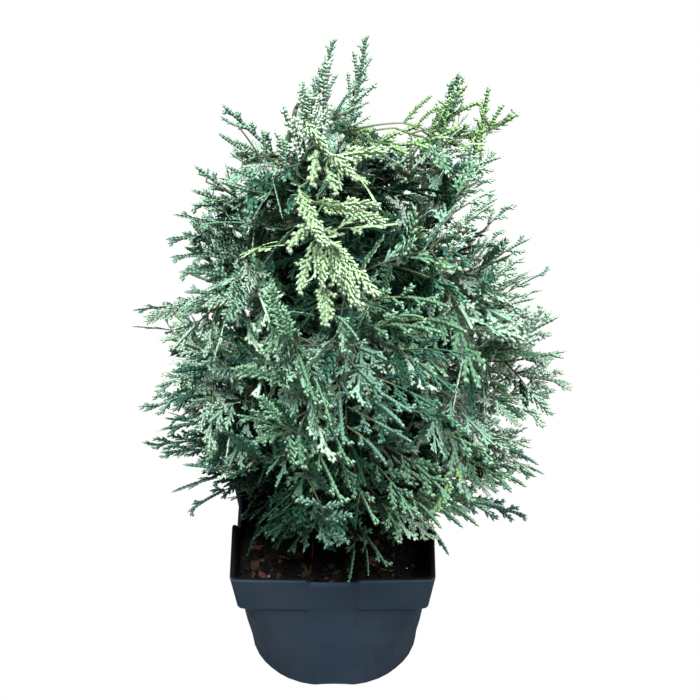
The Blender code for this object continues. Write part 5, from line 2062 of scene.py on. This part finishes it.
def soil_height(x, y):
    """The uneven top of the soil, flat where the trunk stands."""
    away = math.hypot(x, y)
    rough = sum(depth * noise.noise(Vector((x * scale, y * scale, level)))
                for scale, level, depth in SOIL_WAVES)
    ease = min(1.0, max(0.0, (away - SOIL_FLAT) / SOIL_EASE))
    return SOIL_TOP + SOIL_ROUGH * rough * ease


def rough_material(name, colour, scale, bump, shine=0.1):
    """A rough crumbly finish of one colour."""
    material, tree, shader = plain_material(name, colour, 0.9, shine)
    tree.links.new(mottle(tree, scale, *ROUGH_SPREAD), shader.inputs["Roughness"])
    grain = mottle(tree, GRAIN_FINER * scale, *GRAIN_SPREAD)
    add_bump(tree, shader, grain, bump, GRAIN_DEPTH)
    return material


PEAT = rough_material("soil_peat", PEAT_COLOUR, PEAT_SCALE, 0.8)
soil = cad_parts["soil"]
soil.material_slots[0].material = PEAT
print("soil finish on", soil.name)

# %% Kinds of loose bits
BED_HALF = 40.5
CHIP_POINTS = 9
BITS = (
    # name, number, least and most size, shape, colour
    ("crumbs", 2000, (0.6, 1.8), (0.8, 1.0, 0.7), (0.0012, 0.0011, 0.0009)),
    ("clods", 260, (1.6, 3.6), (0.9, 1.0, 0.7), (0.0026, 0.0020, 0.0016)),
    ("bark_chips", 30, (1.4, 3.0), (0.6, 1.3, 0.4), (0.046, 0.016, 0.010)),
    ("brown_chips", 46, (1.4, 3.2), (0.8, 1.1, 0.6), (0.022, 0.013, 0.009)),
    ("olive_bits", 22, (1.2, 2.6), (0.6, 1.3, 0.35), (0.026, 0.024, 0.011)),
    ("perlite", 12, (0.5, 0.8), (1.0, 1.0, 0.9), (0.42, 0.42, 0.38)),
)
OWN_BITS = (
    # name, place, size of the bits that the photograph shows singly
    ("bark_chips", (-34.4, -16.9), 3.4), ("brown_chips", (-34.8, -27.9), 3.8),
    ("olive_bits", (-21.6, -23.7), 3.4), ("bark_chips", (38.6, -28.4), 4.4),
    ("perlite", (-27.9, -33.9), 0.9), ("brown_chips", (-12.0, -33.0), 3.2),
    ("bark_chips", (-1.0, -37.0), 3.0), ("brown_chips", (-28.0, -37.0), 3.4),
)
print(len(BITS), "kinds of bits")

# %% Loose bits on the soil
BIT_TILT = 0.4
BIT_UP = 0.35
BED_SLACK = 1.0
TRUNK_ROOM = 5.5


def add_bit(bm, rng, x, y, size, shape):
    """One broken bit, lying on the soil."""
    turn = Matrix.Rotation(rng.uniform(0.0, 2.0 * math.pi), 3, "Z")
    spin = turn @ Matrix.Rotation(rng.uniform(-BIT_TILT, BIT_TILT), 3, "X")
    place = Vector((x, y, soil_height(x, y) + BIT_UP * size * shape[2]))
    spots = []
    for _ in range(CHIP_POINTS):
        ball = Vector([rng.gauss(0.0, 1.0) for _ in range(3)]).normalized() * size
        spots.append(bm.verts.new(place + spin @ Vector([a * b for a, b in zip(ball, shape)])))
    result = bmesh.ops.convex_hull(bm, input=spots, use_existing_faces=False)
    inside = [item for item in result["geom_interior"] if isinstance(item, bmesh.types.BMVert)]
    bmesh.ops.delete(bm, geom=inside, context="VERTS")


def scatter_bits(rng):
    """All loose bits, one piece a kind."""
    for name, count, sizes, shape, colour in BITS:
        bm = bmesh.new()
        spots = [(rng.uniform(-BED_HALF, BED_HALF), rng.uniform(-BED_HALF, BED_HALF),
                  sizes[0] + (sizes[1] - sizes[0]) * rng.random() ** 2) for _ in range(count)]
        spots += [(*place, size) for kind, place, size in OWN_BITS if kind == name]
        for x, y, size in spots:
            in_bed = max(abs(x), abs(y)) + size < BED_HALF + BED_SLACK
            if in_bed and math.hypot(x, y) > TRUNK_ROOM + size:
                add_bit(bm, rng, x, y, size, shape)
        piece = mesh_from(bm, name)
        piece.data.materials.append(rough_material(name, colour, 700.0, 0.5))
        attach(piece, "root")
        print(name, len(piece.data.polygons), "faces")


scatter_bits(random.Random(SEED + 5))

# %% Bare roots
ROOTS = (
    ((-7.9, -9.5, 0.6), (-9.0, -16.0, 3.4), (-9.4, -24.0, 2.2), (-10.2, -30.9, 0.5)),
    ((14.0, -24.0, 0.4), (20.0, -30.0, 1.4), (28.0, -31.0, 0.4)),
)
ROOT_RADIUS = 0.32
ROOT_STEP = 1.5
ROOT_COLOUR = (0.070, 0.040, 0.028)


def make_roots():
    """A few bare roots that lie on the soil."""
    parts = []
    for places in ROOTS:
        rows = [(x, y, soil_height(x, y) + rise, ROOT_RADIUS) for x, y, rise in places]
        parts.append(tube_line("root", smooth_limb(rows, ROOT_STEP), TWIG_SIDES))
    piece = mesh_from(joined(parts), "bare_roots")
    piece.data.shade_smooth()
    piece.data.materials.append(rough_material("root_bark", ROOT_COLOUR, 900.0, 0.4))
    return piece


roots = make_roots()
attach(roots, "root")
print(roots.name, len(roots.data.polygons), "faces")

# %% Near-black film on the wall
WALL_LOW = 68.5
RIM_UP = 0.6
RIM_LOW = 76.0
FILM_OFF = 0.12
INWARD = -0.2
FILM_CUTS = 2
FILM_COLOUR = (0.0007, 0.0008, 0.0009)


def make_dark_wall_film():
    """A near-black film on the pot's inner wall and rim: copies of their faces, a little in front."""
    bm = bmesh.new()
    bm.from_mesh(pot.data)
    bm.transform(Matrix.Translation(-POT_AXIS) @ Matrix.Scale(1.0 / MM, 4))
    bmesh.ops.bisect_plane(bm, geom=bm.verts[:] + bm.edges[:] + bm.faces[:],
                           plane_co=(0.0, 0.0, WALL_LOW), plane_no=UP, clear_inner=True)
    bm.normal_update()
    outer = []
    for face in bm.faces:
        middle = face.calc_center_median()
        on_rim = face.normal.z >= RIM_UP and middle.z >= RIM_LOW
        if face.normal.xy.dot(middle.xy) > INWARD and not on_rim:
            outer.append(face)
    bmesh.ops.delete(bm, geom=outer, context="FACES")
    bmesh.ops.subdivide_edges(bm, edges=bm.edges[:], cuts=FILM_CUTS, use_grid_fill=True)
    bmesh.ops.triangulate(bm, faces=bm.faces)
    bm.normal_update()
    for vert in bm.verts:
        vert.co += vert.normal * FILM_OFF
    piece = mesh_from(bm, "dark_wall_film")
    piece.data.materials.append(rough_material("near_black_film", FILM_COLOUR, 500.0, 0.5))
    return piece


dark_wall_film = make_dark_wall_film()
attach(dark_wall_film, "root")
print(dark_wall_film.name, len(dark_wall_film.data.polygons), "faces")
